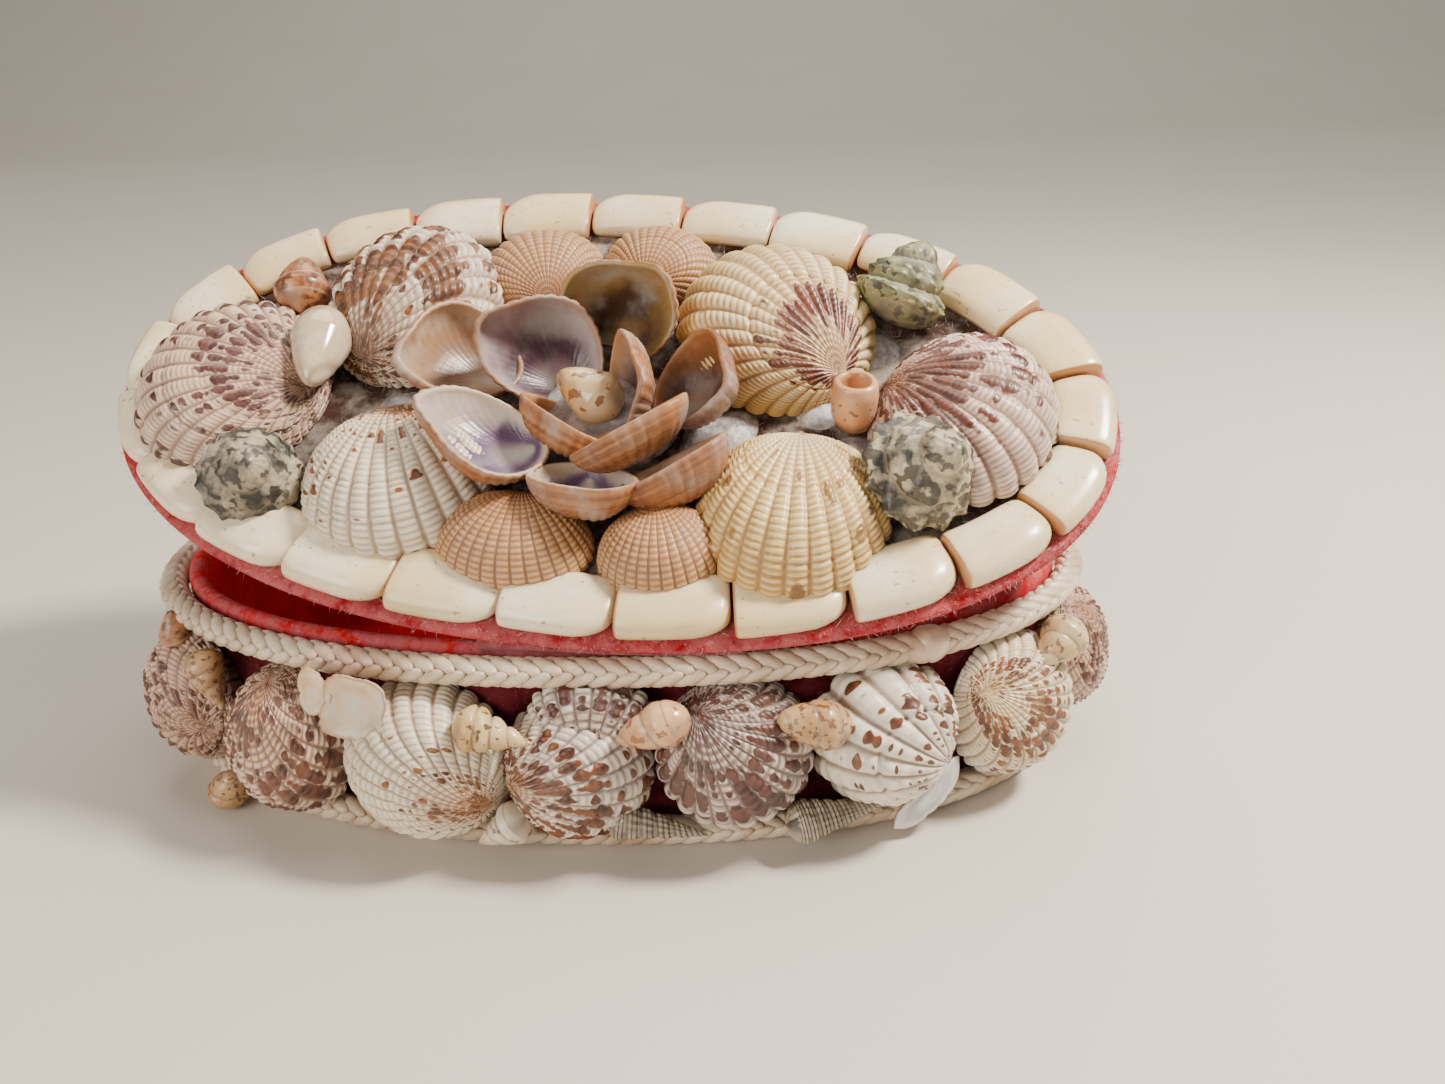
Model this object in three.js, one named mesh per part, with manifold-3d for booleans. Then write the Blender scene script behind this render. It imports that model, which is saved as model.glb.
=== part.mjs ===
// Shell box: an oval trinket box with a cloth-hinged lid, dressed with sea shells and braided cord.
// Millimetres, +Z up, +X along the box, the hinge on the -Y side. The origin is under the middle of the box.

import * as THREE from 'three';
import { mergeVertices } from 'three/addons/utils/BufferGeometryUtils.js';
import Module from 'manifold-3d';

const wasm = await Module();
wasm.setup();

// Box
const wallHalfLength = 85;
const wallHalfDepth = 48;
const wallRoundness = 2.24;
const wallThickness = 3;
const boxHeight = 36.6;
const floorThickness = 2;

// Trim cords
const cordDiameter = 5;
const topCordHeight = 33.6;

// Lid
const lidHalfLength = 92;
const lidHalfDepth = 51.8;
const lidRoundness = 2.14;
const boardThickness = 2.2;
const lidOpening = 33.6;
const lidSkew = -5.8;
const rimClearance = 0.5;
const hingeReach = 2;

// Cloth hinge
const hingeWidth = 43;
const hingeCentre = 4.5;
const clothThickness = 0.3;
const clothGap = 0.1;
const clothOverlap = 2.4;

// Edge slabs
const slabCount = 24;
const slabDepth = 12;
const slabThickness = 4.4;
const slabInset = 1;
const slabStart = -28;

// Shells
const gap = 0.3;
const ovalSteps = 52;
const cordSides = 8;
const valveThickness = 1.1;
const cutTolerance = 0.08;
const room = 1.3 * gap;
const wallValveRoot = 6;
const lidValveRoot = 1;

const deg = Math.PI / 180;
const Z = new THREE.Vector3(0, 0, 1);

// Colours and finishes
const finish = (color, roughness, metalness = 0) =>
  new THREE.MeshStandardMaterial({ color, roughness, metalness });
const redVelvet = finish(0x9c0f1e, 0.95);
const redCloth = finish(0xa8323a, 0.9);
const creamCord = finish(0xe3d3bd, 0.5);
const ivorySlab = finish(0xefe6cd, 0.35);
const whiteShell = finish(0xe9dfce, 0.45);
const brownShell = finish(0xb98a6c, 0.5);
const yellowShell = finish(0xe6cf9a, 0.45);
const tanShell = finish(0xc99f78, 0.55);
const greyShell = finish(0x7f7b70, 0.55);
const purpleShell = finish(0xb59aa6, 0.4);
const peachShell = finish(0xdcb691, 0.35);

// Solids
function toSolid(geometry) {
  const bare = geometry.clone();
  for (const name of Object.keys(bare.attributes)) {
    if (name !== 'position') bare.deleteAttribute(name);
  }
  const merged = mergeVertices(bare, 1e-4);
  return new wasm.Manifold(new wasm.Mesh({
    numProp: 3,
    vertProperties: new Float32Array(merged.attributes.position.array),
    triVerts: new Uint32Array(merged.index.array),
  }));
}

function toGeometry(solid) {
  const mesh = solid.getMesh();
  const geometry = new THREE.BufferGeometry();
  geometry.setAttribute('position', new THREE.BufferAttribute(mesh.vertProperties, 3));
  geometry.setIndex(new THREE.BufferAttribute(mesh.triVerts, 1));
  const flat = geometry.toNonIndexed();
  flat.computeVertexNormals();
  return flat;
}

function largest(solid) {
  const bodies = solid.decompose();
  return bodies.reduce((best, body) => (body.volume() > best.volume() ? body : best));
}

// A closed skin through rings of points; each end is closed by a pole point.
function skin(rings, firstPole, lastPole) {
  const sides = rings[0].length;
  const points = [firstPole, ...rings.flat(), lastPole];
  const last = points.length - 1;
  const index = [];
  for (let j = 0; j < sides; j++) {
    const k = (j + 1) % sides;
    index.push(0, 1 + j, 1 + k);
    for (let i = 0; i + 1 < rings.length; i++) {
      const a = 1 + i * sides;
      const b = a + sides;
      index.push(a + j, b + j, b + k);
      index.push(a + j, b + k, a + k);
    }
    const e = 1 + (rings.length - 1) * sides;
    index.push(last, e + k, e + j);
  }
  const geometry = new THREE.BufferGeometry();
  const flat = points.flatMap((p) => [p.x, p.y, p.z]);
  geometry.setAttribute('position', new THREE.Float32BufferAttribute(flat, 3));
  geometry.setIndex(index);
  return geometry;
}

// The room that a piece keeps to itself: every face moved out by at least the amount, corners by more.
function grown(geometry, amount) {
  const bare = geometry.clone();
  for (const name of Object.keys(bare.attributes)) {
    if (name !== 'position') bare.deleteAttribute(name);
  }
  const merged = mergeVertices(bare, 1e-4);
  const position = merged.attributes.position;
  const corner = (i) => new THREE.Vector3().fromBufferAttribute(position, i);
  const corners = Array.from({ length: position.count }, (_, i) => corner(i));
  const faces = corners.map(() => []);
  const order = merged.index.array;
  for (let t = 0; t < order.length; t += 3) {
    const abc = [order[t], order[t + 1], order[t + 2]];
    const [a, b, c] = abc.map((i) => corners[i]);
    const normal = new THREE.Triangle(a, b, c).getNormal(new THREE.Vector3());
    abc.forEach((i, k) => {
      const to = corners[abc[(k + 1) % 3]].clone().sub(corners[i]);
      const from = corners[abc[(k + 2) % 3]].clone().sub(corners[i]);
      faces[i].push({ normal, angle: to.angleTo(from) });
    });
  }
  corners.forEach((point, i) => {
    const out = new THREE.Vector3();
    for (const { normal, angle } of faces[i]) out.addScaledVector(normal, angle);
    out.normalize();
    const least = Math.max(0.4, Math.min(...faces[i].map(({ normal }) => normal.dot(out))));
    const moved = point.clone().addScaledVector(out, amount / least);
    position.setXYZ(i, moved.x, moved.y, moved.z);
  });
  return toSolid(merged);
}

// Ovals
function ovalPoint(halfLength, halfDepth, roundness, angle) {
  const c = Math.cos(angle);
  const s = Math.sin(angle);
  const x = halfLength * Math.sign(c) * Math.abs(c) ** (2 / roundness);
  const y = halfDepth * Math.sign(s) * Math.abs(s) ** (2 / roundness);
  return new THREE.Vector2(x, y);
}

// Points at equal distances along an oval, each with its outward normal.
function ovalWalk(halfLength, halfDepth, roundness, count, start = 0) {
  const fine = 1440;
  const outline = [];
  for (let i = 0; i <= fine; i++) {
    outline.push(ovalPoint(halfLength, halfDepth, roundness, start + (2 * Math.PI * i) / fine));
  }
  const travelled = [0];
  for (let i = 1; i <= fine; i++) {
    travelled.push(travelled[i - 1] + outline[i].distanceTo(outline[i - 1]));
  }
  const places = [];
  let i = 1;
  for (let k = 0; k < count; k++) {
    const wanted = (travelled[fine] * k) / count;
    while (travelled[i] < wanted) i++;
    const share = (wanted - travelled[i - 1]) / (travelled[i] - travelled[i - 1]);
    const point = outline[i - 1].clone().lerp(outline[i], share);
    const along = outline[i].clone().sub(outline[i - 1]).normalize();
    places.push({ point, along, out: new THREE.Vector2(along.y, -along.x), length: travelled[fine] });
  }
  return places;
}

function ovalShape(halfLength, halfDepth, roundness, steps = ovalSteps) {
  return new THREE.Shape(ovalWalk(halfLength, halfDepth, roundness, steps).map((place) => place.point));
}

function ovalPlate(halfLength, halfDepth, roundness, from, to, steps = ovalSteps) {
  const plate = new THREE.ExtrudeGeometry(ovalShape(halfLength, halfDepth, roundness, steps), {
    depth: to - from,
    bevelEnabled: false,
    curveSegments: 1,
  });
  plate.translate(0, 0, from);
  return plate;
}

// Box, cords and hinge
const cordRadius = cordDiameter / 2;
const cordOffset = gap + cordRadius;

function boxSolid() {
  const outer = toSolid(ovalPlate(wallHalfLength, wallHalfDepth, wallRoundness, 0, boxHeight));
  const inner = toSolid(ovalPlate(
    wallHalfLength - wallThickness,
    wallHalfDepth - wallThickness,
    wallRoundness,
    floorThickness,
    boxHeight + 1,
  ));
  return outer.subtract(inner);
}

// A ring of round section that follows the wall, one station for each step of the wall's own outline.
function cordRing(radius, height, sides = cordSides) {
  const reach = radius / Math.cos(Math.PI / sides);
  const points = [];
  for (const { point, out } of ovalWalk(wallHalfLength, wallHalfDepth, wallRoundness, ovalSteps)) {
    for (let j = 0; j < sides; j++) {
      const turn = ((j + 0.5) * 2 * Math.PI) / sides;
      const side = cordOffset + reach * Math.cos(turn);
      points.push(point.x + side * out.x, point.y + side * out.y, height + reach * Math.sin(turn));
    }
  }
  const index = [];
  for (let i = 0; i < ovalSteps; i++) {
    const a = i * sides;
    const b = ((i + 1) % ovalSteps) * sides;
    for (let j = 0; j < sides; j++) {
      const k = (j + 1) % sides;
      index.push(a + j, b + j, b + k, a + j, b + k, a + k);
    }
  }
  const geometry = new THREE.BufferGeometry();
  geometry.setAttribute('position', new THREE.Float32BufferAttribute(points, 3));
  geometry.setIndex(index);
  return geometry;
}

// A strip of cloth that lies on the outside of the wall between two heights.
function wallCloth(from, to, near, far) {
  const band = (offset) => toSolid(ovalPlate(
    wallHalfLength + offset,
    wallHalfDepth + offset,
    wallRoundness,
    from,
    to,
  ));
  const window = new THREE.BoxGeometry(hingeWidth + 2 * near, wallHalfDepth, 2 * boxHeight);
  window.translate(hingeCentre, -wallHalfDepth, boxHeight);
  return band(far).subtract(band(gap - near)).intersect(toSolid(window));
}

// Shells
// One valve lies with its rim on the XY plane, its beak at -Y and its dome up.
// The ribs spread from the beak.
function valveRings({ width, length, height, ribs, relief, rings, beak = 0.74, inflate = 0.62 }) {
  const pole = new THREE.Vector2(0, -beak);
  const sectors = ribs * 2;
  const domeHeight = (x, y) => {
    const r = Math.min(1, Math.hypot(x, y));
    return height * Math.max(0, 1 - r ** 2.2) ** inflate;
  };
  const place = (share, j) => {
    const turn = (2 * Math.PI * j) / sectors;
    const dir = new THREE.Vector2(Math.sin(turn), -Math.cos(turn));
    const b = pole.dot(dir);
    const reach = -b + Math.sqrt(b * b + 1 - pole.lengthSq());
    const p = pole.clone().addScaledVector(dir, share * reach);
    const z = domeHeight(p.x, p.y);
    const high = j % 2 === 0 ? 1 : -1;
    const strength = relief * high * Math.min(1, reach) * Math.min(1, share * 1.4);
    const up = z < 1e-6 ? 0 : strength;
    const spread = 1 + (z < 1e-6 ? strength / width : 0);
    return new THREE.Vector3((p.x * width * spread) / 2, (p.y * length * spread) / 2, z + up);
  };
  const made = [];
  for (let i = 1; i <= rings; i++) {
    const share = i === rings ? 1 : (i / rings) ** 0.8;
    made.push(Array.from({ length: sectors }, (_, j) => place(share, j)));
  }
  const top = new THREE.Vector3(0, (pole.y * length) / 2, domeHeight(pole.x, pole.y) + relief);
  return { made, top };
}

// A valve that is glued down on its rim, with a root that reaches into what it sits on.
function closedValve(options) {
  const { made, top } = valveRings(options);
  const root = made[made.length - 1].map((p) => new THREE.Vector3(p.x, p.y, -options.root));
  return skin([...made, root], top, new THREE.Vector3(0, 0, -options.root));
}

// A valve with a hollow inside, for the petals of the flower.
function openValve(options) {
  const wall = valveThickness;
  const outer = valveRings(options);
  const inner = valveRings({
    ...options,
    width: options.width - 2 * wall,
    length: options.length - 2 * wall,
    height: options.height - wall,
    relief: 0,
  });
  const hollow = [...inner.made].reverse();
  return skin([...outer.made, ...hollow], outer.top, inner.top);
}

// A turned spire with a step for each whorl; its axis is +Y with the tip at +Y.
function snail({ length, radius, whorls, taper = 1, sides = 9 }) {
  const profile = [new THREE.Vector2(0, -length / 2)];
  profile.push(new THREE.Vector2(radius * 0.55, -length * 0.46));
  const body = length * 0.42;
  for (let i = 0; i < whorls; i++) {
    const share = i / whorls;
    const r = radius * (1 - share) ** taper;
    const y = -length / 2 + body * (0.55 + 0.45 * (i > 0 ? 1 : 0)) + (length - body) * share;
    profile.push(new THREE.Vector2(r, y));
    if (i + 1 < whorls) profile.push(new THREE.Vector2(r * 0.84, y + (length - body) / whorls * 0.55));
  }
  profile.push(new THREE.Vector2(0, length / 2));
  return new THREE.LatheGeometry(profile, sides);
}

// Placing
function pieceMesh(name, geometry, material, parent) {
  const mesh = new THREE.Mesh(geometry, material);
  mesh.name = name;
  parent.add(mesh);
  return mesh;
}

// A piece gives way to all that was set before it, and the room that it takes is kept for the next ones.
function settle(name, solid, material, parent, taken) {
  let body = solid;
  for (const other of taken) body = body.subtract(other);
  body = largest(body.simplify(cutTolerance));
  const geometry = toGeometry(body);
  taken.push(grown(geometry, room));
  pieceMesh(name, geometry, material, parent);
}

// A solid moved along a direction until it meets what is already there.
function lowered(solid, direction, taken) {
  const searchReach = 40;
  const touching = 0.02;
  const mostMoves = 12;
  let body = solid;
  for (let move = 0; move < mostMoves; move++) {
    const free = Math.min(...taken.map((other) => body.minGap(other, searchReach)));
    if (free < touching) break;
    body = body.translate([direction.x * free, direction.y * free, direction.z * free]);
  }
  return body;
}

function placed(geometry, matrix) {
  const copy = geometry.clone();
  copy.applyMatrix4(matrix);
  return toSolid(copy);
}

const frameMatrix = (x, y, z, origin) => new THREE.Matrix4().makeBasis(x, y, z).setPosition(origin);

// The whole box
const group = new THREE.Group();

pieceMesh('base_box', toGeometry(boxSolid()), redVelvet, group);

const clothBase = toGeometry(wallCloth(topCordHeight - cordRadius, boxHeight, 0, gap + clothThickness));
pieceMesh('hinge_cloth_base', clothBase, redCloth, group);
const clothRoom = grown(clothBase, gap);

const cordHeights = { top_cord: topCordHeight, bottom_cord: cordRadius };
const wallTaken = [
  toSolid(ovalPlate(wallHalfLength + gap, wallHalfDepth + gap, wallRoundness, -1, boxHeight + 1)),
  clothRoom,
];
for (const [name, height] of Object.entries(cordHeights)) {
  const ring = toSolid(cordRing(cordRadius, height)).subtract(clothRoom);
  pieceMesh(name, toGeometry(ring), creamCord, group);
  wallTaken.push(toSolid(cordRing(cordRadius + gap, height, 4)));
}

// Shells round the wall. A bearing is the angle along the wall's oval, 270 at the middle of the hinge side.
// They lean on the bottom cord. Their heights are from the middle of the band between the cords.
const wallMiddle = (topCordHeight + cordRadius) / 2;
const wallLean = 9;
const wallStandOff = 2.6;

function wallPlace(bearing, height, fan, standOff, lean) {
  const angle = bearing * deg;
  const p = ovalPoint(wallHalfLength, wallHalfDepth, wallRoundness, angle);
  const q = ovalPoint(wallHalfLength, wallHalfDepth, wallRoundness, angle + 0.001);
  const along = new THREE.Vector3(q.x - p.x, q.y - p.y, 0).normalize();
  const level = new THREE.Vector3(along.y, -along.x, 0);
  const out = level.clone().multiplyScalar(Math.cos(lean * deg));
  out.addScaledVector(Z, Math.sin(lean * deg));
  const rise = Z.clone().multiplyScalar(Math.cos(lean * deg));
  rise.addScaledVector(level, -Math.sin(lean * deg));
  const towards = along.clone().multiplyScalar(Math.cos(fan * deg));
  towards.addScaledVector(rise, Math.sin(fan * deg));
  const side = new THREE.Vector3().crossVectors(towards, out);
  const origin = new THREE.Vector3(p.x, p.y, wallMiddle + height).addScaledVector(level, standOff);
  return frameMatrix(side, towards, out, origin);
}

// Each row: name, bearing, height, width across the ribs, length along them, dome,
// bearing of the fan, finish.
const wallCockles = [
  ['front_cockle_1', 211, -1, 26, 26, 10, 170, brownShell],
  ['front_cockle_2', 235, -1.5, 24, 27, 11, -85, brownShell],
  ['front_cockle_3', 254.3, -1.5, 27.5, 29.5, 12, 155, whiteShell],
  ['front_cockle_4', 269.2, -2, 25, 25.5, 10, 8, whiteShell],
  ['front_cockle_5', 284, 0, 26.5, 26, 10, -55, brownShell],
  ['front_cockle_6', 302, 0.5, 25, 26, 11, 150, whiteShell],
  ['front_cockle_7', 323.5, -1, 26, 27, 10, -35, whiteShell],
  ['right_end_cockle', 346, 0.5, 24, 24, 9, -70, brownShell],
  ['back_cockle_1', 13, 0, 26, 26, 9, -90, whiteShell],
  ['back_cockle_2', 40, 0, 26, 26, 9, 70, brownShell],
  ['back_cockle_3', 61, 0, 26, 26, 9, -80, whiteShell],
  ['back_cockle_4', 79, 0, 26, 26, 9, 90, brownShell],
  ['back_cockle_5', 97, 0, 26, 26, 9, -95, whiteShell],
  ['back_cockle_6', 116, 0, 26, 26, 9, 80, brownShell],
  ['back_cockle_7', 138, 0, 26, 26, 9, -90, whiteShell],
  ['left_end_cockle', 180, 0, 24, 25, 8, 90, whiteShell],
];
for (const [name, bearing, height, width, length, rise, fan, material] of wallCockles) {
  const ribs = name.startsWith('front') ? 10 : 8;
  const root = wallValveRoot;
  const valve = closedValve({ width, length, height: rise, ribs, relief: 0.35, rings: 3, root });
  const solid = placed(valve, wallPlace(bearing, height, fan, wallStandOff, wallLean));
  settle(name, solid, material, group, wallTaken);
}

// Small shells between the cockles: name, bearing, height, length, radius, whorls,
// bearing of the tip, finish.
const wallSnails = [
  ['wall_snail_1', 222.3, 7, 12, 3.6, 3, -70, peachShell],
  ['wall_snail_2', 262.8, 7.8, 13, 3.9, 4, -15, whiteShell],
  ['wall_snail_3', 276, 8.3, 12, 3.5, 2, 200, peachShell],
  ['wall_snail_4', 292, 8, 12, 3.8, 2, 165, peachShell],
  ['wall_snail_5', 262.5, -11, 11, 3.8, 3, 215, whiteShell],
  ['horn_shell', 294.5, -11, 17, 3.6, 5, 5, greyShell],
];
for (const [name, bearing, height, length, radius, whorls, tip, material] of wallSnails) {
  const place = wallPlace(bearing, height, tip, cordDiameter + radius, 0);
  const inward = new THREE.Vector3().setFromMatrixColumn(place, 2).negate();
  const solid = lowered(placed(snail({ length, radius, whorls }), place), inward, wallTaken);
  settle(name, solid, material, group, wallTaken);
}

// Lid: a group that turns about the hinge line and holds the board's own axes.
const hinge = new THREE.Group();
hinge.position.set(0, -wallHalfDepth - hingeReach, boxHeight + rimClearance);
hinge.rotation.x = lidOpening * deg;
group.add(hinge);
const lid = new THREE.Group();
lid.position.set(0, lidHalfDepth, 0);
lid.rotation.z = lidSkew * deg;
hinge.add(lid);

const board = ovalPlate(lidHalfLength, lidHalfDepth, lidRoundness, 0, boardThickness);
pieceMesh('lid_board', board, redVelvet, lid);
const lidTaken = [
  toSolid(ovalPlate(lidHalfLength + gap, lidHalfDepth + gap, lidRoundness, -gap, boardThickness + gap)),
];

// The other half of the cloth hinge: a strip under the edge of the board.
const stripPlate = (inset) => toSolid(ovalPlate(
  lidHalfLength - inset,
  lidHalfDepth - inset,
  lidRoundness,
  -clothGap - clothThickness,
  -clothGap,
));
const stripWindow = new THREE.BoxGeometry(hingeWidth, lidHalfDepth, 4 * boardThickness);
stripWindow.translate(hingeCentre, -lidHalfDepth, 0);
const lidCloth = stripPlate(gap).subtract(stripPlate(clothOverlap)).intersect(toSolid(stripWindow));
pieceMesh('hinge_cloth_lid', toGeometry(lidCloth), redCloth, lid);

// A place on the lid: shares of its half length and half depth, height above the board, the bearing of the
// fan or tip, and how far it is raised from the board.
function lidPlace(across, away, height, bearing, raised) {
  const level = new THREE.Vector3(Math.cos(bearing * deg), Math.sin(bearing * deg), 0);
  const towards = level.clone().multiplyScalar(Math.cos(raised * deg));
  towards.addScaledVector(Z, Math.sin(raised * deg));
  const out = Z.clone().multiplyScalar(Math.cos(raised * deg));
  out.addScaledVector(level, -Math.sin(raised * deg));
  const side = new THREE.Vector3().crossVectors(towards, out);
  const origin = new THREE.Vector3(across * lidHalfLength, away * lidHalfDepth, boardThickness + height);
  return frameMatrix(side, towards, out, origin);
}

// Name, place across and away, width across the ribs, length, dome, bearing of the fan, rise, ribs, finish.
const lidValves = [
  ['lid_cockle_left', -0.735, -0.135, 40, 34, 11, 176, 5, 10, brownShell],
  ['lid_cockle_upper_left', -0.425, 0.29, 33, 36, 11, 72, 8, 10, brownShell],
  ['lid_cockle_lower_left', -0.335, -0.47, 34, 33, 10, -72, 5, 10, whiteShell],
  ['lid_cockle_upper_right', 0.33, 0.28, 36, 37, 11, 138, 8, 10, yellowShell],
  ['lid_cockle_lower_right', 0.4, -0.49, 32, 34, 10, -90, 5, 10, yellowShell],
  ['lid_cockle_right', 0.7, -0.06, 37, 32, 11, -18, 5, 10, brownShell],
  ['lid_ark_far_left', -0.185, 0.52, 25, 21, 7, 112, 6, 9, tanShell],
  ['lid_ark_far_right', 0.065, 0.6, 23, 19, 7, 78, 4, 9, tanShell],
  ['lid_ark_near_left', -0.095, -0.675, 27, 20, 8, -92, 4, 9, tanShell],
  ['lid_ark_near_right', 0.175, -0.67, 21, 18.5, 8, -78, 4, 9, tanShell],
];
for (const [name, across, away, width, length, rise, fan, raised, ribs, material] of lidValves) {
  const lift = (length / 2) * Math.sin(raised * deg);
  const root = 2 * lift + lidValveRoot;
  const valve = closedValve({ width, length, height: rise, ribs, relief: 0.4, rings: 3, root });
  const solid = placed(valve, lidPlace(across, away, gap + lift, fan, raised));
  settle(name, solid, material, lid, lidTaken);
}

// Slabs round the edge, fused where they touch into four arcs. A section is seen along the edge:
// distance in from the edge and height above the board, both as shares of the slab.
const slabSection = [[0, 0], [0.04, 0.6], [0.3, 1], [0.9, 0.8], [1, 0]];
const slabCuts = [[0, 0.76], [0.18, 1], [0.82, 1], [1, 0.76]];
const slabWalkSteps = 50;
const slabWalk = ovalWalk(
  lidHalfLength - slabInset,
  lidHalfDepth - slabInset,
  lidRoundness,
  slabCount * slabWalkSteps,
  slabStart * deg,
);

function slabRing(along, fullness) {
  const floor = boardThickness + gap;
  const index = Math.round(along * slabWalkSteps + slabWalk.length) % slabWalk.length;
  const place = slabWalk[index];
  return slabSection.map(([inward, rise]) => {
    const depth = slabDepth * (0.5 + (inward - 0.5) * fullness);
    const p = place.point.clone().addScaledVector(place.out, -depth);
    return new THREE.Vector3(p.x, p.y, floor + rise * slabThickness * fullness);
  });
}

const slabArcs = ['edge_slabs_right', 'edge_slabs_far', 'edge_slabs_left', 'edge_slabs_near'];
const slabsInArc = slabCount / slabArcs.length;
const slabEnd = 0.03;
slabArcs.forEach((name, arc) => {
  const rings = [];
  for (let k = 0; k < slabsInArc; k++) {
    for (const [share, fullness] of slabCuts) {
      if (share === 1 && k + 1 < slabsInArc) continue;
      let along = arc * slabsInArc + k + share;
      if (rings.length === 0) along += slabEnd;
      if (share === 1) along -= slabEnd;
      rings.push(slabRing(along, fullness));
    }
  }
  const middle = (ring) => {
    const sum = new THREE.Vector3();
    for (const p of ring) sum.add(p);
    return sum.divideScalar(ring.length);
  };
  const fused = toSolid(skin(rings, middle(rings[0]), middle(rings[rings.length - 1])));
  settle(name, fused, ivorySlab, lid, lidTaken);
});

// Petals of the flower: single valves, open to the bearing of the fan turned round. Name, place across and
// away, height, width, length, depth, bearing outwards, how steeply they stand, finish.
const petals = [
  ['petal_inner_left', -0.04, -0.24, 14, 18, 14, 6, 240, 52, tanShell],
  ['petal_inner_top', 0.055, -0.1, 15.5, 19, 17, 5, 15, 72, brownShell],
  ['petal_inner_right', 0.1, -0.32, 12, 20, 15, 6, 312, 52, tanShell],
  ['petal_top', 0.024, 0.2, 16, 22, 19, 6.5, 68, 60, purpleShell],
  ['petal_upper_left', -0.115, 0.03, 12, 20, 19, 7, 140, 50, purpleShell],
  ['petal_left', -0.26, -0.04, 11, 19, 18, 7, 178, 40, purpleShell],
  ['petal_lower_left', -0.17, -0.39, 12.5, 20, 18, 6, 213, 34, purpleShell],
  ['petal_right', 0.185, -0.1, 11, 18, 17, 7, 5, 50, brownShell],
  ['petal_lower_right', 0.185, -0.42, 9, 18, 14, 6, 312, 56, tanShell],
  ['petal_bottom', 0.027, -0.5, 9.5, 17, 15, 6.5, 268, 40, purpleShell],
];
for (const [name, across, away, height, width, length, depth, bearing, steep, material] of petals) {
  const bowl = openValve({ width, length, height: depth, ribs: 6, relief: 0.15, rings: 3 });
  const place = lidPlace(across, away, height, bearing, steep);
  place.multiply(new THREE.Matrix4().makeRotationY(Math.PI));
  const solid = lowered(placed(bowl, place), Z.clone().negate(), lidTaken);
  settle(name, solid, material, lid, lidTaken);
}

// Small shells on the lid: name, place across and away, height, length, radius, whorls, bearing of the tip,
// how steeply the tip stands, finish.
const lidSnails = [
  ['flower_centre', -0.012, -0.1, 17, 13, 5, 2, 160, 20, peachShell],
  ['snail_far_left', -0.675, 0.34, 6, 12, 4.6, 3, 100, 15, peachShell],
  ['turban_near_left', -0.585, -0.57, 8, 15, 8, 4, -40, 60, greyShell],
  ['turban_far_right', 0.585, 0.47, 8, 15, 8, 4, 60, 40, greyShell],
  ['turban_near_right', 0.64, -0.36, 10, 17, 9, 4, -30, 60, greyShell],
  ['spire_right', 0.495, -0.075, 9, 11, 3.7, 3, 90, -80, peachShell],
];
for (const [name, across, away, height, length, radius, whorls, bearing, steep, material] of lidSnails) {
  const place = lidPlace(across, away, height, bearing, steep);
  const solid = lowered(placed(snail({ length, radius, whorls }), place), Z.clone().negate(), lidTaken);
  settle(name, solid, material, lid, lidTaken);
}

// A smooth glossy shell like a bean.
const bean = new THREE.SphereGeometry(1, 10, 6);
bean.scale(5.6, 9.5, 5);
const beanSolid = lowered(placed(bean, lidPlace(-0.56, -0.01, 9, -80, 5)), Z.clone().negate(), lidTaken);
settle('bean_shell', beanSolid, whiteShell, lid, lidTaken);

export default group;
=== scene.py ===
import math

import bpy
import numpy as np
from mathutils import Matrix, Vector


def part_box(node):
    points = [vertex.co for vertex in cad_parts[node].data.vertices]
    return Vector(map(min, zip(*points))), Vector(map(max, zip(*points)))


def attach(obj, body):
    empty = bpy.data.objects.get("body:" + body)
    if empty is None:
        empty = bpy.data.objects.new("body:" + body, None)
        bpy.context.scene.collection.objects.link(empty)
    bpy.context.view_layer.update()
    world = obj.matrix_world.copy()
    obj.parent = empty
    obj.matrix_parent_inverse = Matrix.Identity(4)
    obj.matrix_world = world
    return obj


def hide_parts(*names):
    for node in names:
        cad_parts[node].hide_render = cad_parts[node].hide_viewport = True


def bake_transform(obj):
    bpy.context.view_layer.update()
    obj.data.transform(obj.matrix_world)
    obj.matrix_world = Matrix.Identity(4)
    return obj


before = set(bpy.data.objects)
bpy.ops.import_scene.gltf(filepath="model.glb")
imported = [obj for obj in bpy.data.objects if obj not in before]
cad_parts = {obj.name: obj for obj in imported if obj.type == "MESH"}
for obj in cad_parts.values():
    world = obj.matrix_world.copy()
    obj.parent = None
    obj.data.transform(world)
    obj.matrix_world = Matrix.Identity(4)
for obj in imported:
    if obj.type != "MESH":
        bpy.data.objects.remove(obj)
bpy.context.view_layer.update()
print("shell box: frame loaded")

# Sizes of the carcass in millimetres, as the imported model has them
millimetre = 0.001
wall = {"halfLength": 85, "halfDepth": 48, "roundness": 2.24, "thickness": 3, "height": 36.6, "floor": 2}
lid = {"halfLength": 92, "halfDepth": 51.8, "roundness": 2.14, "thickness": 2.2, "opening": 33.6, "skew": -5.8}
cord = {"radius": 2.5, "gap": 0.3, "topHeight": 33.6, "joinAt": 307}
hingeLine = (0, -50, 37.1)
wallMiddle = (cord["topHeight"] + cord["radius"]) / 2
up = np.array([0.0, 0.0, 1.0])


# Placing

def unit(v):
    return v / np.linalg.norm(v)


def turned(axis, degrees, origin=(0, 0, 0)):
    placed = np.eye(4)
    placed[:3, :3] = np.array(Matrix.Rotation(math.radians(degrees), 3, axis))
    placed[:3, 3] = origin
    return placed


lidAxes = turned("X", lid["opening"], hingeLine) @ turned("Z", lid["skew"], (0, lid["halfDepth"], 0))


def moved(points, place):
    return points @ place[:3, :3].T + place[:3, 3]


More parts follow.
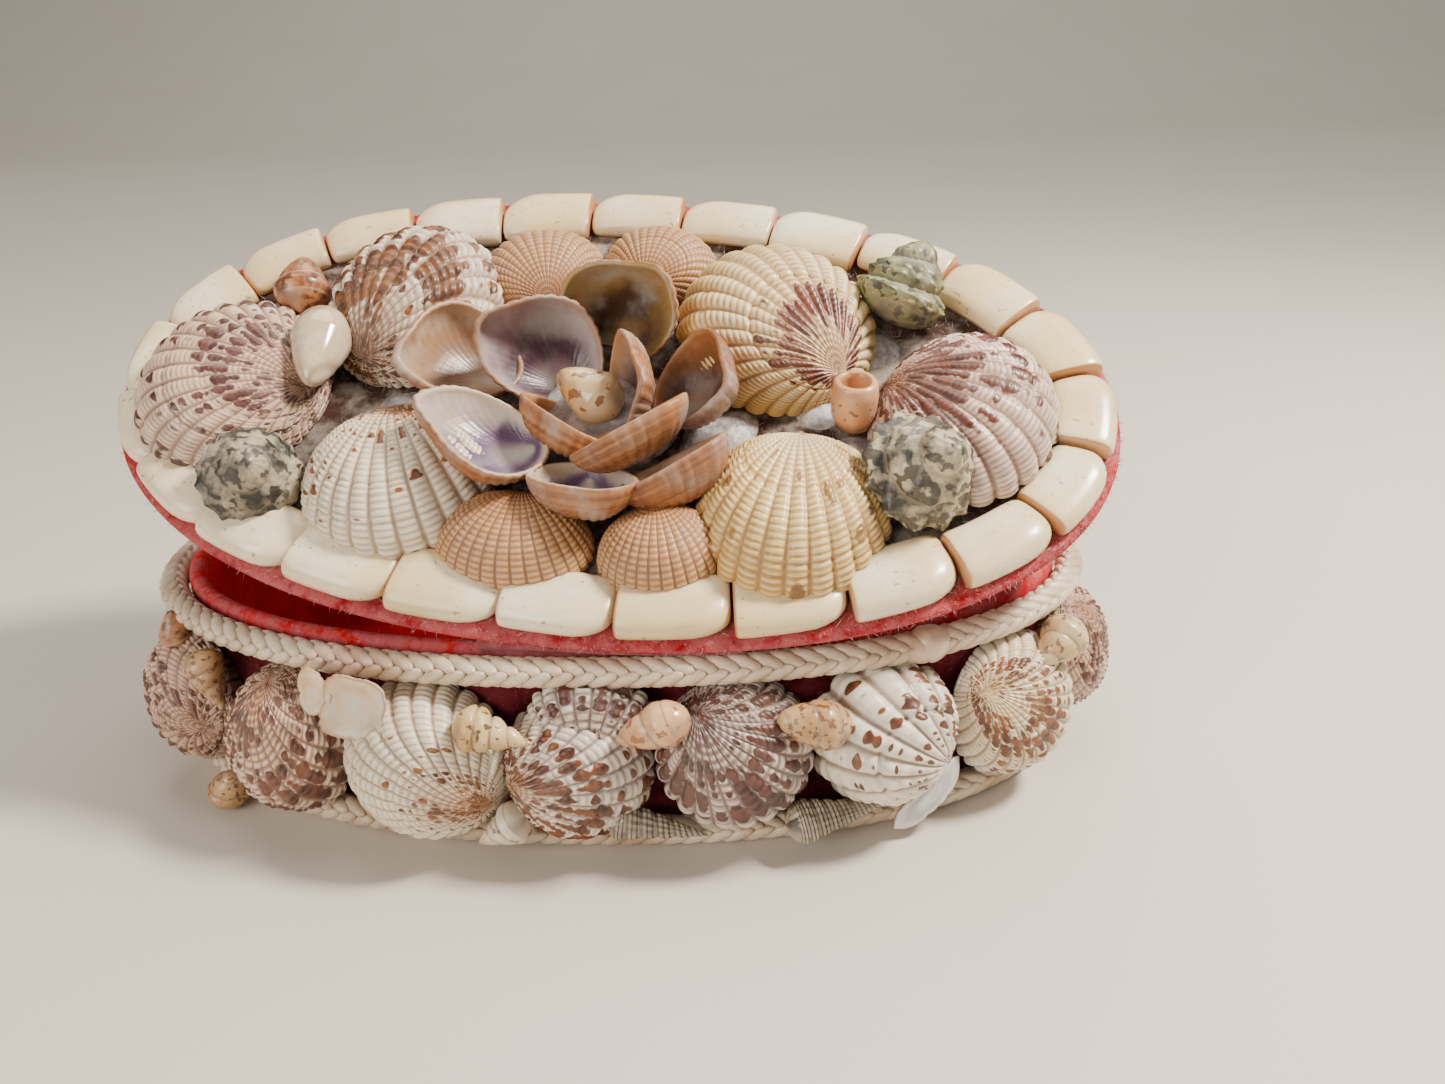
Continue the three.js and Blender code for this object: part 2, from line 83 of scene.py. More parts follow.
def basis(side, towards, out, origin):
    place = np.eye(4)
    place[:3, 0], place[:3, 1], place[:3, 2], place[:3, 3] = side, towards, out, origin
    return place


def ovalPoint(halfLength, halfDepth, roundness, angle):
    c, s = np.cos(angle), np.sin(angle)
    x = halfLength * np.sign(c) * np.abs(c) ** (2 / roundness)
    y = halfDepth * np.sign(s) * np.abs(s) ** (2 / roundness)
    return np.stack([x, y], axis=-1)


def ovalWalk(halfLength, halfDepth, roundness, count, start=0.0):
    # points at equal distances along an oval, each with its outward normal
    fine = 5760
    turn = math.radians(start) + np.linspace(0, 2 * math.pi, fine + 1)
    outline = ovalPoint(halfLength, halfDepth, roundness, turn)
    travelled = np.concatenate([[0], np.cumsum(np.linalg.norm(np.diff(outline, axis=0), axis=1))])
    wanted = travelled[-1] * np.arange(count) / count
    point = np.stack([np.interp(wanted, travelled, outline[:, k]) for k in range(2)], axis=1)
    along = np.roll(point, -1, axis=0) - np.roll(point, 1, axis=0)
    along /= np.linalg.norm(along, axis=1)[:, None]
    return point, along, np.stack([along[:, 1], -along[:, 0]], axis=1), travelled[-1]


def wallPlace(bearing, height, fan, standOff, lean=0.0):
    angle, tilt, fan = math.radians(bearing), math.radians(lean), math.radians(fan)
    p = ovalPoint(wall["halfLength"], wall["halfDepth"], wall["roundness"], np.array(angle))
    q = ovalPoint(wall["halfLength"], wall["halfDepth"], wall["roundness"], np.array(angle + 0.001))
    along = unit(np.array([q[0] - p[0], q[1] - p[1], 0]))
    level = np.array([along[1], -along[0], 0])
    out = level * math.cos(tilt) + up * math.sin(tilt)
    rise = up * math.cos(tilt) - level * math.sin(tilt)
    towards = along * math.cos(fan) + rise * math.sin(fan)
    origin = np.array([p[0], p[1], wallMiddle + height]) + level * standOff
    return basis(np.cross(towards, out), towards, out, origin)


def lidPlace(across, away, height, bearing, raised):
    bearing, raised = math.radians(bearing), math.radians(raised)
    level = np.array([math.cos(bearing), math.sin(bearing), 0])
    towards = level * math.cos(raised) + up * math.sin(raised)
    out = up * math.cos(raised) - level * math.sin(raised)
    origin = np.array([across * lid["halfLength"], away * lid["halfDepth"], lid["thickness"] + height])
    return basis(np.cross(towards, out), towards, out, origin)


def placedAt(shape, *places):
    # the shape, carried through one place after another
    points, faces, maps = shape
    for place in places:
        points = moved(points, place)
    return points, faces, maps


def settled(shape, name):
    # a loose shell takes the place where its solid came to rest
    points, faces, maps = shape
    low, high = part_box(name)
    middle = np.array(low + high) / 2 * 1000
    return points + middle - (points.min(axis=0) + points.max(axis=0)) / 2, faces, maps


def outsideWall(shape, inset=1.2):
    # nothing reaches deeper into the wall than the inset
    points, faces, maps = shape
    a, b, n = wall["halfLength"] - inset, wall["halfDepth"] - inset, wall["roundness"]
    f = (np.abs(points[:, 0]) / a) ** n + (np.abs(points[:, 1]) / b) ** n
    grow = np.where(f < 1, np.maximum(f, 0.2) ** (-1 / n), 1)
    return np.column_stack([points[:, :2] * grow[:, None], points[:, 2]]), faces, maps


# Meshes: a shape holds its points, its faces and a map with a pair of values for each corner

def skin(rings, maps, firstPole, lastPole):
    # a closed skin through rings of points; maps holds a pair for each ring and column, one column more than the points
    count, sides = rings.shape[:2]
    points = np.concatenate([[firstPole], rings.reshape(-1, 3), [lastPole]])
    j = np.arange(sides)
    k = (j + 1) % sides
    middleOf = lambda row: (row[:-1] + row[1:]) / 2
    faces = np.stack([np.zeros(sides, int), 1 + j, 1 + k], axis=1).tolist()
    corners = [np.stack([middleOf(maps[0]), maps[0][j], maps[0][j + 1]], axis=1).reshape(-1, 2)]
    for i in range(count - 1):
        a, b = 1 + i * sides, 1 + (i + 1) * sides
        faces += np.stack([a + j, b + j, b + k, a + k], axis=1).tolist()
        quads = [maps[i][j], maps[i + 1][j], maps[i + 1][j + 1], maps[i][j + 1]]
        corners.append(np.stack(quads, axis=1).reshape(-1, 2))
    e = 1 + (count - 1) * sides
    faces += np.stack([np.full(sides, len(points) - 1), e + k, e + j], axis=1).tolist()
    corners.append(np.stack([middleOf(maps[-1]), maps[-1][j + 1], maps[-1][j]], axis=1).reshape(-1, 2))
    return points, faces, np.concatenate(corners)


def evenMaps(byColumn, byRing):
    # a map whose first value follows the columns and whose second value follows the rings
    return np.stack(np.broadcast_arrays(byColumn[None, :], byRing[:, None]), axis=-1)


def outwards(shape):
    # turns every face round where the skin was wound the other way
    points, faces, maps = shape
    triangles = np.array([face[:3] for face in faces])
    a, b, c = (points[triangles[:, k]] for k in range(3))
    if (np.cross(b - a, c - a) * (a - points.mean(axis=0))).sum() > 0:
        return shape
    starts = np.cumsum([0] + [len(face) for face in faces])
    order = np.concatenate([np.arange(s, e)[::-1] for s, e in zip(starts[:-1], starts[1:])])
    return points, [face[::-1] for face in faces], maps[order]


def joined(shapes):
    # several shapes as one
    points, faces, maps, base = [], [], [], 0
    for p, f, m in shapes:
        points.append(p)
        faces += [[base + v for v in face] for face in f]
        maps.append(m)
        base += len(p)
    return np.concatenate(points), faces, np.concatenate(maps)


def linked(name, data):
    made = bpy.data.objects.new(name, data)
    bpy.context.scene.collection.objects.link(made)
    return made


def claim(piece, body, nodes=()):
    if body:
        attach(piece, body)
    if nodes:
        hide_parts(*nodes)
    return piece


def meshPiece(name, shape, material, body, nodes=(), attributes=None):
    points, faces, maps = shape
    mesh = bpy.data.meshes.new(name)
    mesh.from_pydata((points * millimetre).tolist(), [], faces)
    mesh.uv_layers.new(name="surface").data.foreach_set("uv", maps.astype(np.float32).ravel())
    for key, values in (attributes or {}).items():
        mesh.attributes.new(key, "FLOAT", "POINT").data.foreach_set("value", np.asarray(values, np.float32))
    mesh.polygons.foreach_set("use_smooth", [True] * len(mesh.polygons))
    mesh.materials.append(material)
    mesh.validate()
    return claim(linked(name, mesh), body, nodes)


def softNoise(count, seed, octaves=4):
    # a smooth closed wave for small irregularities round a rim
    rng = np.random.RandomState(seed)
    t = np.linspace(0, 2 * math.pi, count, endpoint=False)
    wave = np.zeros(count)
    for octave in range(1, octaves + 1):
        wave += rng.uniform(-1, 1) * np.sin(octave * t + rng.uniform(0, 6.28)) / octave
    return wave


# Materials

def tint(text):
    # a hex colour as the linear values that a socket takes
    values = [int(text[i:i + 2], 16) / 255 for i in (1, 3, 5)]
    return tuple(v / 12.92 if v <= 0.04045 else ((v + 0.055) / 1.055) ** 2.4 for v in values) + (1.0,)


def feed(tree, made, inputs):
    # an input takes a value, or the socket that drives it
    for key, value in inputs.items():
        if isinstance(value, bpy.types.NodeSocket):
            tree.links.new(value, made.inputs[key])
        else:
            made.inputs[key].default_value = value
    return made


def node(tree, kind, inputs=None, **settings):
    made = tree.nodes.new(kind)
    for key, value in settings.items():
        setattr(made, key, value)
    return feed(tree, made, inputs or {})


def calc(tree, operation, *values, clamp=False):
    return node(tree, "ShaderNodeMath", dict(enumerate(values)), operation=operation, use_clamp=clamp).outputs[0]


def times(tree, a, b):
    return calc(tree, "MULTIPLY", a, b)


def vectorCalc(tree, operation, a, b):
    second = "Scale" if operation == "SCALE" else 1
    return node(tree, "ShaderNodeVectorMath", {0: a, second: b}, operation=operation).outputs[0]


def combined(tree, x, y, z):
    return node(tree, "ShaderNodeCombineXYZ", {0: x, 1: y, 2: z}).outputs[0]


def ranged(tree, value, low, high, toLow=0.0, toHigh=1.0):
    inputs = {0: value, 1: low, 2: high, 3: toLow, 4: toHigh}
    return node(tree, "ShaderNodeMapRange", inputs, interpolation_type="SMOOTHSTEP").outputs[0]


def blendColour(tree, factor, a, b):
    a, b = (tint(colour) if isinstance(colour, str) else colour for colour in (a, b))
    return node(tree, "ShaderNodeMix", {0: factor, 6: a, 7: b}, data_type="RGBA", clamp_factor=True).outputs[2]


def layer(tree, value, low, high, under, over, strength=1.0):
    # one colour gives way to the other while the value goes from low to high
    return blendColour(tree, ranged(tree, value, low, high, 0.0, strength), under, over)


def noise(tree, vector, scale, detail=2.0, roughness=0.5):
    inputs = {"Vector": vector, "Scale": scale, "Detail": detail, "Roughness": roughness}
    return node(tree, "ShaderNodeTexNoise", inputs).outputs["Fac"]


def streaks(tree, across, acrossScale, along, alongScale, seed, detail):
    # noise that is drawn out on the surface map
    at = combined(tree, times(tree, across, acrossScale), times(tree, along, alongScale), seed)
    return noise(tree, at, 1.0, detail)


def surfaceMap(tree):
    pair = node(tree, "ShaderNodeSeparateXYZ", {0: node(tree, "ShaderNodeUVMap", uv_map="surface").outputs[0]})
    return pair.outputs[0], pair.outputs[1]


def objectPoint(tree):
    return node(tree, "ShaderNodeTexCoord").outputs["Object"]


def attribute(tree, name, output="Fac"):
    return node(tree, "ShaderNodeAttribute", attribute_name=name).outputs[output]


def nodeGroup(name, kind, inputs, outputs):
    # an input has a name, a kind of socket and a value or None; an output has a name and a kind
    group = bpy.data.node_groups.new(name, kind)
    for key, socketKind, value in inputs:
        socket = group.interface.new_socket(name=key, in_out="INPUT", socket_type="NodeSocket" + socketKind)
        if value is not None:
            socket.default_value = value
    for key, socketKind in outputs:
        group.interface.new_socket(name=key, in_out="OUTPUT", socket_type="NodeSocket" + socketKind)
    return group, node(group, "NodeGroupInput").outputs, node(group, "NodeGroupOutput").inputs


def marksGroup():
    # dashes that keep to single ribs, gathered in zones along the growth
    group, given, out = nodeGroup(
        "growthMarks", "ShaderNodeTree",
        [("Rib", "Float", 0.0), ("Growth", "Float", 0.0), ("Seed", "Float", 0.0), ("Dash", "Float", 10.0),
         ("Amount", "Float", 0.5), ("Rib Tops", "Float", 0.7)],
        [("Mask", "Float"), ("Groove", "Float")],
    )
    rib, growth, seed = given["Rib"], given["Growth"], given["Seed"]
    top = calc(group, "SINE", times(group, calc(group, "FRACT", rib), math.pi))
    ownPlace = calc(group, "ADD", times(group, calc(group, "FLOOR", rib), 7.31), seed)
    dashes = noise(group, combined(group, ownPlace, times(group, growth, given["Dash"]), seed), 1.0, 1.0)
    zones = streaks(group, rib, 0.13, growth, 5.0, seed, 2.0)
    score = calc(group, "ADD", times(group, dashes, 0.62), times(group, zones, 0.55))
    score = calc(group, "ADD", score, times(group, given["Amount"], 0.35))
    beside = times(group, calc(group, "SUBTRACT", 1.0, top), given["Rib Tops"])
    score = calc(group, "SUBTRACT", score, times(group, beside, 0.22))
    group.links.new(ranged(group, score, 0.70, 0.735), out["Mask"])
    # the groove mask, near the grooves between the ribs, where the painted shade goes
    group.links.new(ranged(group, top, 0.55, 0.1), out["Groove"])
    return group


def grimeGroup():
    # dust and glue film, thicker in hollows
    group, given, out = nodeGroup(
        "grime", "ShaderNodeTree",
        [("Color", "Color", (1, 1, 1, 1)), ("Film", "Color", tint("#a79c90")), ("Amount", "Float", 0.3),
         ("Hollow", "Float", 0.0)],
        [("Color", "Color"), ("Mask", "Float")],
    )
    cloud = noise(group, objectPoint(group), 95.0, 5.0, 0.6)
    patch = ranged(group, calc(group, "ADD", cloud, times(group, given["Hollow"], 0.22)), 0.42, 0.74)
    mask = calc(group, "MULTIPLY", patch, given["Amount"], clamp=True)
    group.links.new(blendColour(group, mask, given["Color"], given["Film"]), out["Color"])
    group.links.new(mask, out["Mask"])
    return group


growthMarks = marksGroup()
grime = grimeGroup()


def filmed(tree, colour, amount, hollow=0.0, film="#a79c90"):
    # a colour under grime: the group's outputs
    inputs = {"Color": colour, "Film": tint(film), "Amount": amount, "Hollow": hollow}
    return node(tree, "ShaderNodeGroup", inputs, node_tree=grime).outputs


def material(name):
    made = bpy.data.materials.new(name)
    made.use_nodes = True
    tree = made.node_tree
    return made, tree, tree.nodes["Principled BSDF"]


def finished(tree, shader, colour, roughness, bump, **surface):
    # bump is a height, its strength and its distance in metres; surface sets more inputs of the shader
    height, strength, distance = bump
    relief = node(tree, "ShaderNodeBump", {"Strength": strength, "Distance": distance, "Height": height})
    words = {"coat": "Coat Weight", "coatRough": "Coat Roughness", "glow": "Subsurface Weight",
             "glowRadius": "Subsurface Radius", "specular": "Specular IOR Level", "sheen": "Sheen Weight",
             "sheenRough": "Sheen Roughness", "sheenTint": "Sheen Tint"}
    feed(tree, shader, {"Base Color": colour, "Roughness": roughness, "Normal": relief.outputs[0],
                        **{words[key]: value for key, value in surface.items()}})


ribFinish = {"film": "#8d7b69", "dust": 0.24, "dustyRough": 0.65, "fineScale": 1900.0, "coat": 0.22, "coatRough": 0.22,
             "glow": 0.06, "glowRadius": (0.002, 0.001, 0.0006)}


def ribbedMaterial(name, look, beads, seed):
    look = {**plainRib, **ribLooks[look]}
    made, tree, shader = material(name)
    rib, growth = surfaceMap(tree)
    point = objectPoint(tree)
    centre, reach, weight = look["band"]
    away = calc(tree, "ABSOLUTE", calc(tree, "SUBTRACT", growth, centre))
    band = times(tree, ranged(tree, away, reach, 0.0), weight)
    marks = node(tree, "ShaderNodeGroup", {
        "Rib": rib, "Growth": growth, "Amount": calc(tree, "ADD", band, look["amount"]), "Seed": seed * 3.7,
        "Dash": look["dash"], "Rib Tops": look["ribTops"]}, node_tree=growthMarks).outputs
    colour = layer(tree, growth, 0.02, 0.5, look["beak"], look["body"])
    colour = layer(tree, growth, 0.62, 0.98, colour, look["margin"])
    colour = layer(tree, noise(tree, point, 60.0 + seed, 3.0), 0.35, 0.7, colour, look["flush"], 0.35)
    growthRings = streaks(tree, rib, 0.02, growth, 26.0, float(seed), 3.0)
    colour = layer(tree, growthRings, 0.56, 0.75, colour, look["groove"], 0.4)
    # painted shade: the grooves between the ribs and the hollows between the beads are darkened towards the groove
    # colour; the dust also gathers thicker there
    wave = calc(tree, "COSINE", times(tree, growth, beads * 2 * math.pi))
    between = ranged(tree, wave, 0.1, -0.9, 0.0, look["beadShade"])
    shadeAndDustHollows = calc(tree, "MAXIMUM", times(tree, marks["Groove"], look["grooveShade"]), between)
    colour = blendColour(tree, shadeAndDustHollows, colour, look["groove"])
    # painted highlight: the bead tops away from the grooves are lightened towards a pale colour
    crestHighlight = times(tree, ranged(tree, wave, 0.2, 0.95, 0.0, 0.3), calc(tree, "SUBTRACT", 1.0, marks["Groove"]))
    colour = blendColour(tree, crestHighlight, colour, look["crestHighlight"])
    tone = layer(tree, noise(tree, point, 420.0, 2.0), 0.35, 0.65, look["mark"], look["markLight"])
    colour = blendColour(tree, marks["Mask"], colour, tone)
    film = filmed(tree, colour, ribFinish["dust"], shadeAndDustHollows, ribFinish["film"])
    grain = times(tree, noise(tree, point, ribFinish["fineScale"], 3.0), 0.4)
    height = calc(tree, "ADD", grain, streaks(tree, rib, 0.15, growth, 150.0, 0.0, 2.0))
    rough = ranged(tree, film["Mask"], 0.0, 0.4, look["rough"], ribFinish["dustyRough"])
    finished(tree, shader, film["Color"], rough, (height, 0.35, 0.00025), specular=0.5,
             **{key: ribFinish[key] for key in ("coat", "coatRough", "glow", "glowRadius")})
    return made


# Looks of the ribbed shells: colours from the beak to the margin, marks and where they gather, the groove colour of the
# growth lines and of the painted shade in the grooves and between the beads, the strengths of that shade, and the
# colour of the painted highlight on the bead tops
plainRib = {"beak": "#d9ad8a", "body": "#e6d3ba", "margin": "#ead9c0", "flush": "#dfbf9f", "groove": "#80583c",
            "crestHighlight": "#f6ecda", "grooveShade": 0.75, "beadShade": 0.4, "mark": "#66301a", "markLight": "#98522c",
            "amount": 0.0, "band": (0.5, 0.5, 0.0), "dash": 13.0, "ribTops": 0.7, "rough": 0.36}
ribLooks = {
    "pinkDots": {"beak": "#b98470", "body": "#dfbfa2", "margin": "#e2cdb4", "flush": "#c99e88", "groove": "#7a5044",
                 "mark": "#462622", "markLight": "#6b403b", "amount": 0.32, "band": (0.35, 0.45, 0.15), "dash": 19.0},
    "brownDash": {"beak": "#6b3c2a", "body": "#e5d3bd", "margin": "#e9d9c4", "flush": "#cfae92", "groove": "#83563f",
                  "mark": "#441c0a", "markLight": "#824c23", "amount": 0.4, "band": (0.5, 0.45, 0.15), "dash": 10.0},
    "whiteSpeck": {"beak": "#bf7f50", "body": "#ebdec6", "margin": "#eee3cf", "flush": "#e2cba8", "groove": "#94765a",
                   "mark": "#5d3115", "markLight": "#8c5730", "amount": 0.02, "band": (0.2, 0.4, 0.45), "dash": 22.0},
    "yellowBand": {"beak": "#d9b090", "body": "#e8cb92", "margin": "#e0b858", "flush": "#e2c38a", "groove": "#a0703a",
                   "mark": "#512115", "markLight": "#79402e", "amount": -0.1, "band": (0.34, 0.3, 0.85), "dash": 9.0,
                   "beadShade": 0.55},
    "yellow": {"beak": "#f0e2bd", "body": "#e3c273", "margin": "#dcb25c", "flush": "#ecd59c", "groove": "#a36f2c",
               "mark": "#845b25", "markLight": "#a67e44", "amount": 0.0, "band": (0.6, 0.4, 0.25), "dash": 5.0,
               "beadShade": 0.5},
    "redDash": {"beak": "#94503e", "body": "#dab9a4", "margin": "#e4d2c4", "flush": "#b98270", "groove": "#733f32",
                "mark": "#4a1f15", "markLight": "#6d3629", "amount": 0.34, "band": (0.35, 0.4, 0.25), "dash": 13.0},
    "rustBead": {"beak": "#b1714c", "body": "#dfc0a6", "margin": "#e6d4c4", "flush": "#bd8664", "groove": "#713a26",
                 "mark": "#481e11", "markLight": "#723f2c", "amount": 0.34, "band": (0.6, 0.4, 0.15), "dash": 14.0,
                 "beadShade": 0.6},
    "zigzag": {"beak": "#c4925e", "body": "#e4d6c6", "margin": "#e2dcd4", "flush": "#cbb3a6", "groove": "#6f5a58",
               "mark": "#491e0c", "markLight": "#7b441e", "amount": 0.34, "band": (0.45, 0.4, 0.2), "dash": 12.0},
    "purple": {"beak": "#70545a", "body": "#d2bfb2", "margin": "#e0d6cc", "flush": "#94706a", "groove": "#523232",
               "mark": "#391915", "markLight": "#60332c", "amount": 0.36, "band": (0.6, 0.4, 0.15), "dash": 11.0,
               "beadShade": 0.55},
    "wedges": {"beak": "#e4dac8", "body": "#efe6d6", "margin": "#e8dfd0", "flush": "#dccdb6", "groove": "#7a5a42",
               "mark": "#4a1e09", "markLight": "#7a421c", "amount": 0.22, "band": (0.6, 0.5, 0.15), "dash": 20.0,
               "ribTops": 1.2, "beadShade": 0.12},
    "creamDots": {"beak": "#e0c38c", "body": "#ebdbb9", "margin": "#e8e2d8", "flush": "#e4cda2", "groove": "#8a6a4c",
                  "mark": "#562812", "markLight": "#8a5429", "amount": 0.16, "band": (0.4, 0.3, 0.4), "dash": 17.0},
    "pinkBrown": {"beak": "#ae7658", "body": "#d8b096", "margin": "#e0c6b0", "flush": "#ad7c62", "groove": "#6a4034",
                  "mark": "#47211a", "markLight": "#6b3a2e", "amount": 0.28, "band": (0.5, 0.4, 0.1), "dash": 13.0},
    "tanArk": {"beak": "#a2683c", "body": "#c18e5e", "margin": "#cfa274", "flush": "#b17c4e", "groove": "#74441f",
               "crestHighlight": "#dcb78c", "mark": "#603a21", "markLight": "#825433", "amount": -0.2, "band": (0.3, 0.3, 0.1),
               "dash": 10.0, "grooveShade": 0.85, "beadShade": 0.5, "rough": 0.5},
}


# Form of every two-part shell: how far its beak lies back, the fall and swell of its dome, half the turn that its plain
# rear takes and its steps, and how much higher its ribs stand than their row says
valve = {"beak": 0.88, "fall": 2.7, "swell": 0.6, "rearHalf": 58.0, "rearSteps": 12, "ribGain": 1.3}


def domeHeight(dome, r):
    return dome * np.maximum(0, 1 - r ** valve["fall"]) ** valve["swell"]


def growthSteps(dome, length, rows):
    # shares of the way from the beak to the margin that are even along the shell's surface
    share = np.linspace(0, 1, 4001)
    y = share * (1 + valve["beak"]) - valve["beak"]
    z = domeHeight(dome, np.abs(y))
    run = np.concatenate([[0], np.cumsum(np.hypot(np.diff(y) * length / 2, np.diff(z)))])
    return np.interp(np.linspace(0, run[-1], rows + 1)[1:], run, share)


def valveGrid(width, length, dome, ribs, relief, beads, rows, perRib, beadDepth, seed):
    # rings of points from the beak to the margin; the ribs fan out over all but the rear
    beak, rearHalf, rearSteps = valve["beak"], valve["rearHalf"], valve["rearSteps"]
    frontSteps = ribs * perRib
    front = np.linspace(rearHalf, 360 - rearHalf, frontSteps + 1)
    rear = np.linspace(-rearHalf, rearHalf, rearSteps + 1)[1:-1]
    turn = np.radians(np.concatenate([front, rear + 360]))
    rib = np.concatenate([np.linspace(0, ribs, frontSteps + 1), np.linspace(ribs, ribs + 4, rearSteps + 1)[1:-1]])
    ribbed = np.concatenate([np.ones(frontSteps + 1), np.zeros(rearSteps - 1)])
    ribbed[0] = ribbed[frontSteps] = 0
    relief = relief * valve["ribGain"]
    dx, dy = np.sin(turn), -np.cos(turn)
    b = -beak * dy
    reach = -b + np.sqrt(b * b + 1 - beak ** 2)
    share = growthSteps(dome, length, rows)
    px = share[:, None] * (reach * dx)[None, :]
    py = -beak + share[:, None] * (reach * dy)[None, :]
    z = domeHeight(dome, np.minimum(1, np.hypot(px, py)))
    grid = np.stack([px * width / 2, py * length / 2, z], axis=-1)
    alongRows = np.gradient(grid, axis=0)
    alongRing = (np.roll(grid, -1, axis=1) - np.roll(grid, 1, axis=1)) / 2
    normal = np.cross(alongRows, alongRing)
    normal /= np.maximum(np.linalg.norm(normal, axis=2), 1e-9)[:, :, None]
    growth = (np.arange(1, rows + 1) / rows)[:, None]
    ribTop = np.abs(np.sin(math.pi * rib))[None, :] ** 0.75 * ribbed[None, :]
    wide = np.minimum(1, growth * 1.5) * np.minimum(1, reach * 0.9 + 0.1)[None, :]
    bead = (0.5 + 0.5 * np.cos(2 * math.pi * (growth * beads + 0.05 * np.sin(rib)[None, :]))) ** 0.8
    beadFade = np.clip((growth - 0.12) * 4, 0, 1)
    height = relief * wide * ribTop * (1 - beadDepth * beadFade * (1 - bead))
    rng = np.random.RandomState(seed)
    for _ in range(3):  # low growth steps
        at = rng.uniform(0.45, 0.97)
        height = height - relief * 0.35 * np.exp(-((growth - at) / 0.012) ** 2)
    height = height - relief * 0.45 * ribbed[None, :]
    grid = grid + normal * height[:, :, None]
    grid[:, :, 2] = np.maximum(grid[:, :, 2], 0)
    maps = evenMaps(np.append(rib, ribs + 4), growth[:, 0])
    return grid, maps, np.array([0, -beak * length / 2, domeHeight(dome, beak)])


def closedValve(root, **size):
    # a valve that is glued down: its rim turns in and a plug of glue reaches to what carries it
    grid, maps, top = valveGrid(perRib=6, **size)
    rim = grid[-1]
    turnedIn = []
    for share, drop in ((0.965, 0.25), (0.87, 0.35), (0.84, root)):
        ring = rim * [share, share, 0]
        ring[:, 2] = -drop
        turnedIn.append(ring)
    maps = np.concatenate([maps, np.repeat(maps[-1:], len(turnedIn), axis=0)])
    return skin(np.concatenate([grid, turnedIn]), maps, top, np.array([0, 0, -root]))


# Ribbed shells on the wall; the root is the depth of the glue behind a shell
wallShells = {"root": 7, "rows": 72, "standOff": 2.6, "lean": 9, "beadDepth": 0.55, "wedgeBeadDepth": 0.2}
wallCockles = {  # bearing, height, width, length, dome, bearing of the fan, ribs, rib height, beads, look
    "front_cockle_1": (211, -1, 26, 26, 10, 170, 24, 0.75, 26, "pinkBrown"),
    "front_cockle_2": (235, -1.5, 24, 27, 11, -85, 26, 0.7, 24, "rustBead"),
    "front_cockle_3": (254.3, -1.5, 27.5, 29.5, 12, 155, 30, 0.7, 28, "whiteSpeck"),
    "front_cockle_4": (269.2, -2, 25, 25.5, 10, 8, 27, 0.7, 24, "zigzag"),
    "front_cockle_5": (284, 0, 26.5, 26, 10, -55, 26, 0.75, 22, "purple"),
    "front_cockle_6": (302, 0.5, 25, 26, 11, 150, 17, 1.0, 12, "wedges"),
    "front_cockle_7": (323.5, -1, 26, 27, 10, -35, 28, 0.6, 26, "creamDots"),
    "right_end_cockle": (346, 0.5, 24, 24, 9, -70, 26, 0.7, 24, "pinkBrown"),
    "back_cockle_1": (13, 0, 26, 26, 9, -90, 25, 0.7, 22, "creamDots"),
    "back_cockle_2": (40, 0, 26, 26, 9, 70, 26, 0.7, 24, "rustBead"),
    "back_cockle_3": (61, 0, 26, 26, 9, -80, 24, 0.7, 22, "whiteSpeck"),
    "back_cockle_4": (79, 0, 26, 26, 9, 90, 26, 0.7, 24, "pinkBrown"),
    "back_cockle_5": (97, 0, 26, 26, 9, -95, 24, 0.7, 20, "zigzag"),
    "back_cockle_6": (116, 0, 26, 26, 9, 80, 26, 0.7, 24, "purple"),
    "back_cockle_7": (138, 0, 26, 26, 9, -90, 24, 0.7, 22, "wedges"),
    "left_end_cockle": (180, 0, 24, 25, 8, 90, 24, 0.7, 22, "pinkDots"),
}
for order, (name, row) in enumerate(wallCockles.items()):
    bearing, height, width, length, dome, fan, ribs, relief, beads, look = row
    beadDepth = wallShells["wedgeBeadDepth" if look == "wedges" else "beadDepth"]
    shape = closedValve(wallShells["root"], width=width, length=length, dome=dome, ribs=ribs, relief=relief,
                        beads=beads, rows=wallShells["rows"], beadDepth=beadDepth, seed=order)
    place = wallPlace(bearing, height, fan, wallShells["standOff"], wallShells["lean"])
    finish = ribbedMaterial(name + "Shell", look, beads, order + 1)
    meshPiece(name, outsideWall(placedAt(shape, place)), finish, "box", [name])
print("shell box: wall cockles")

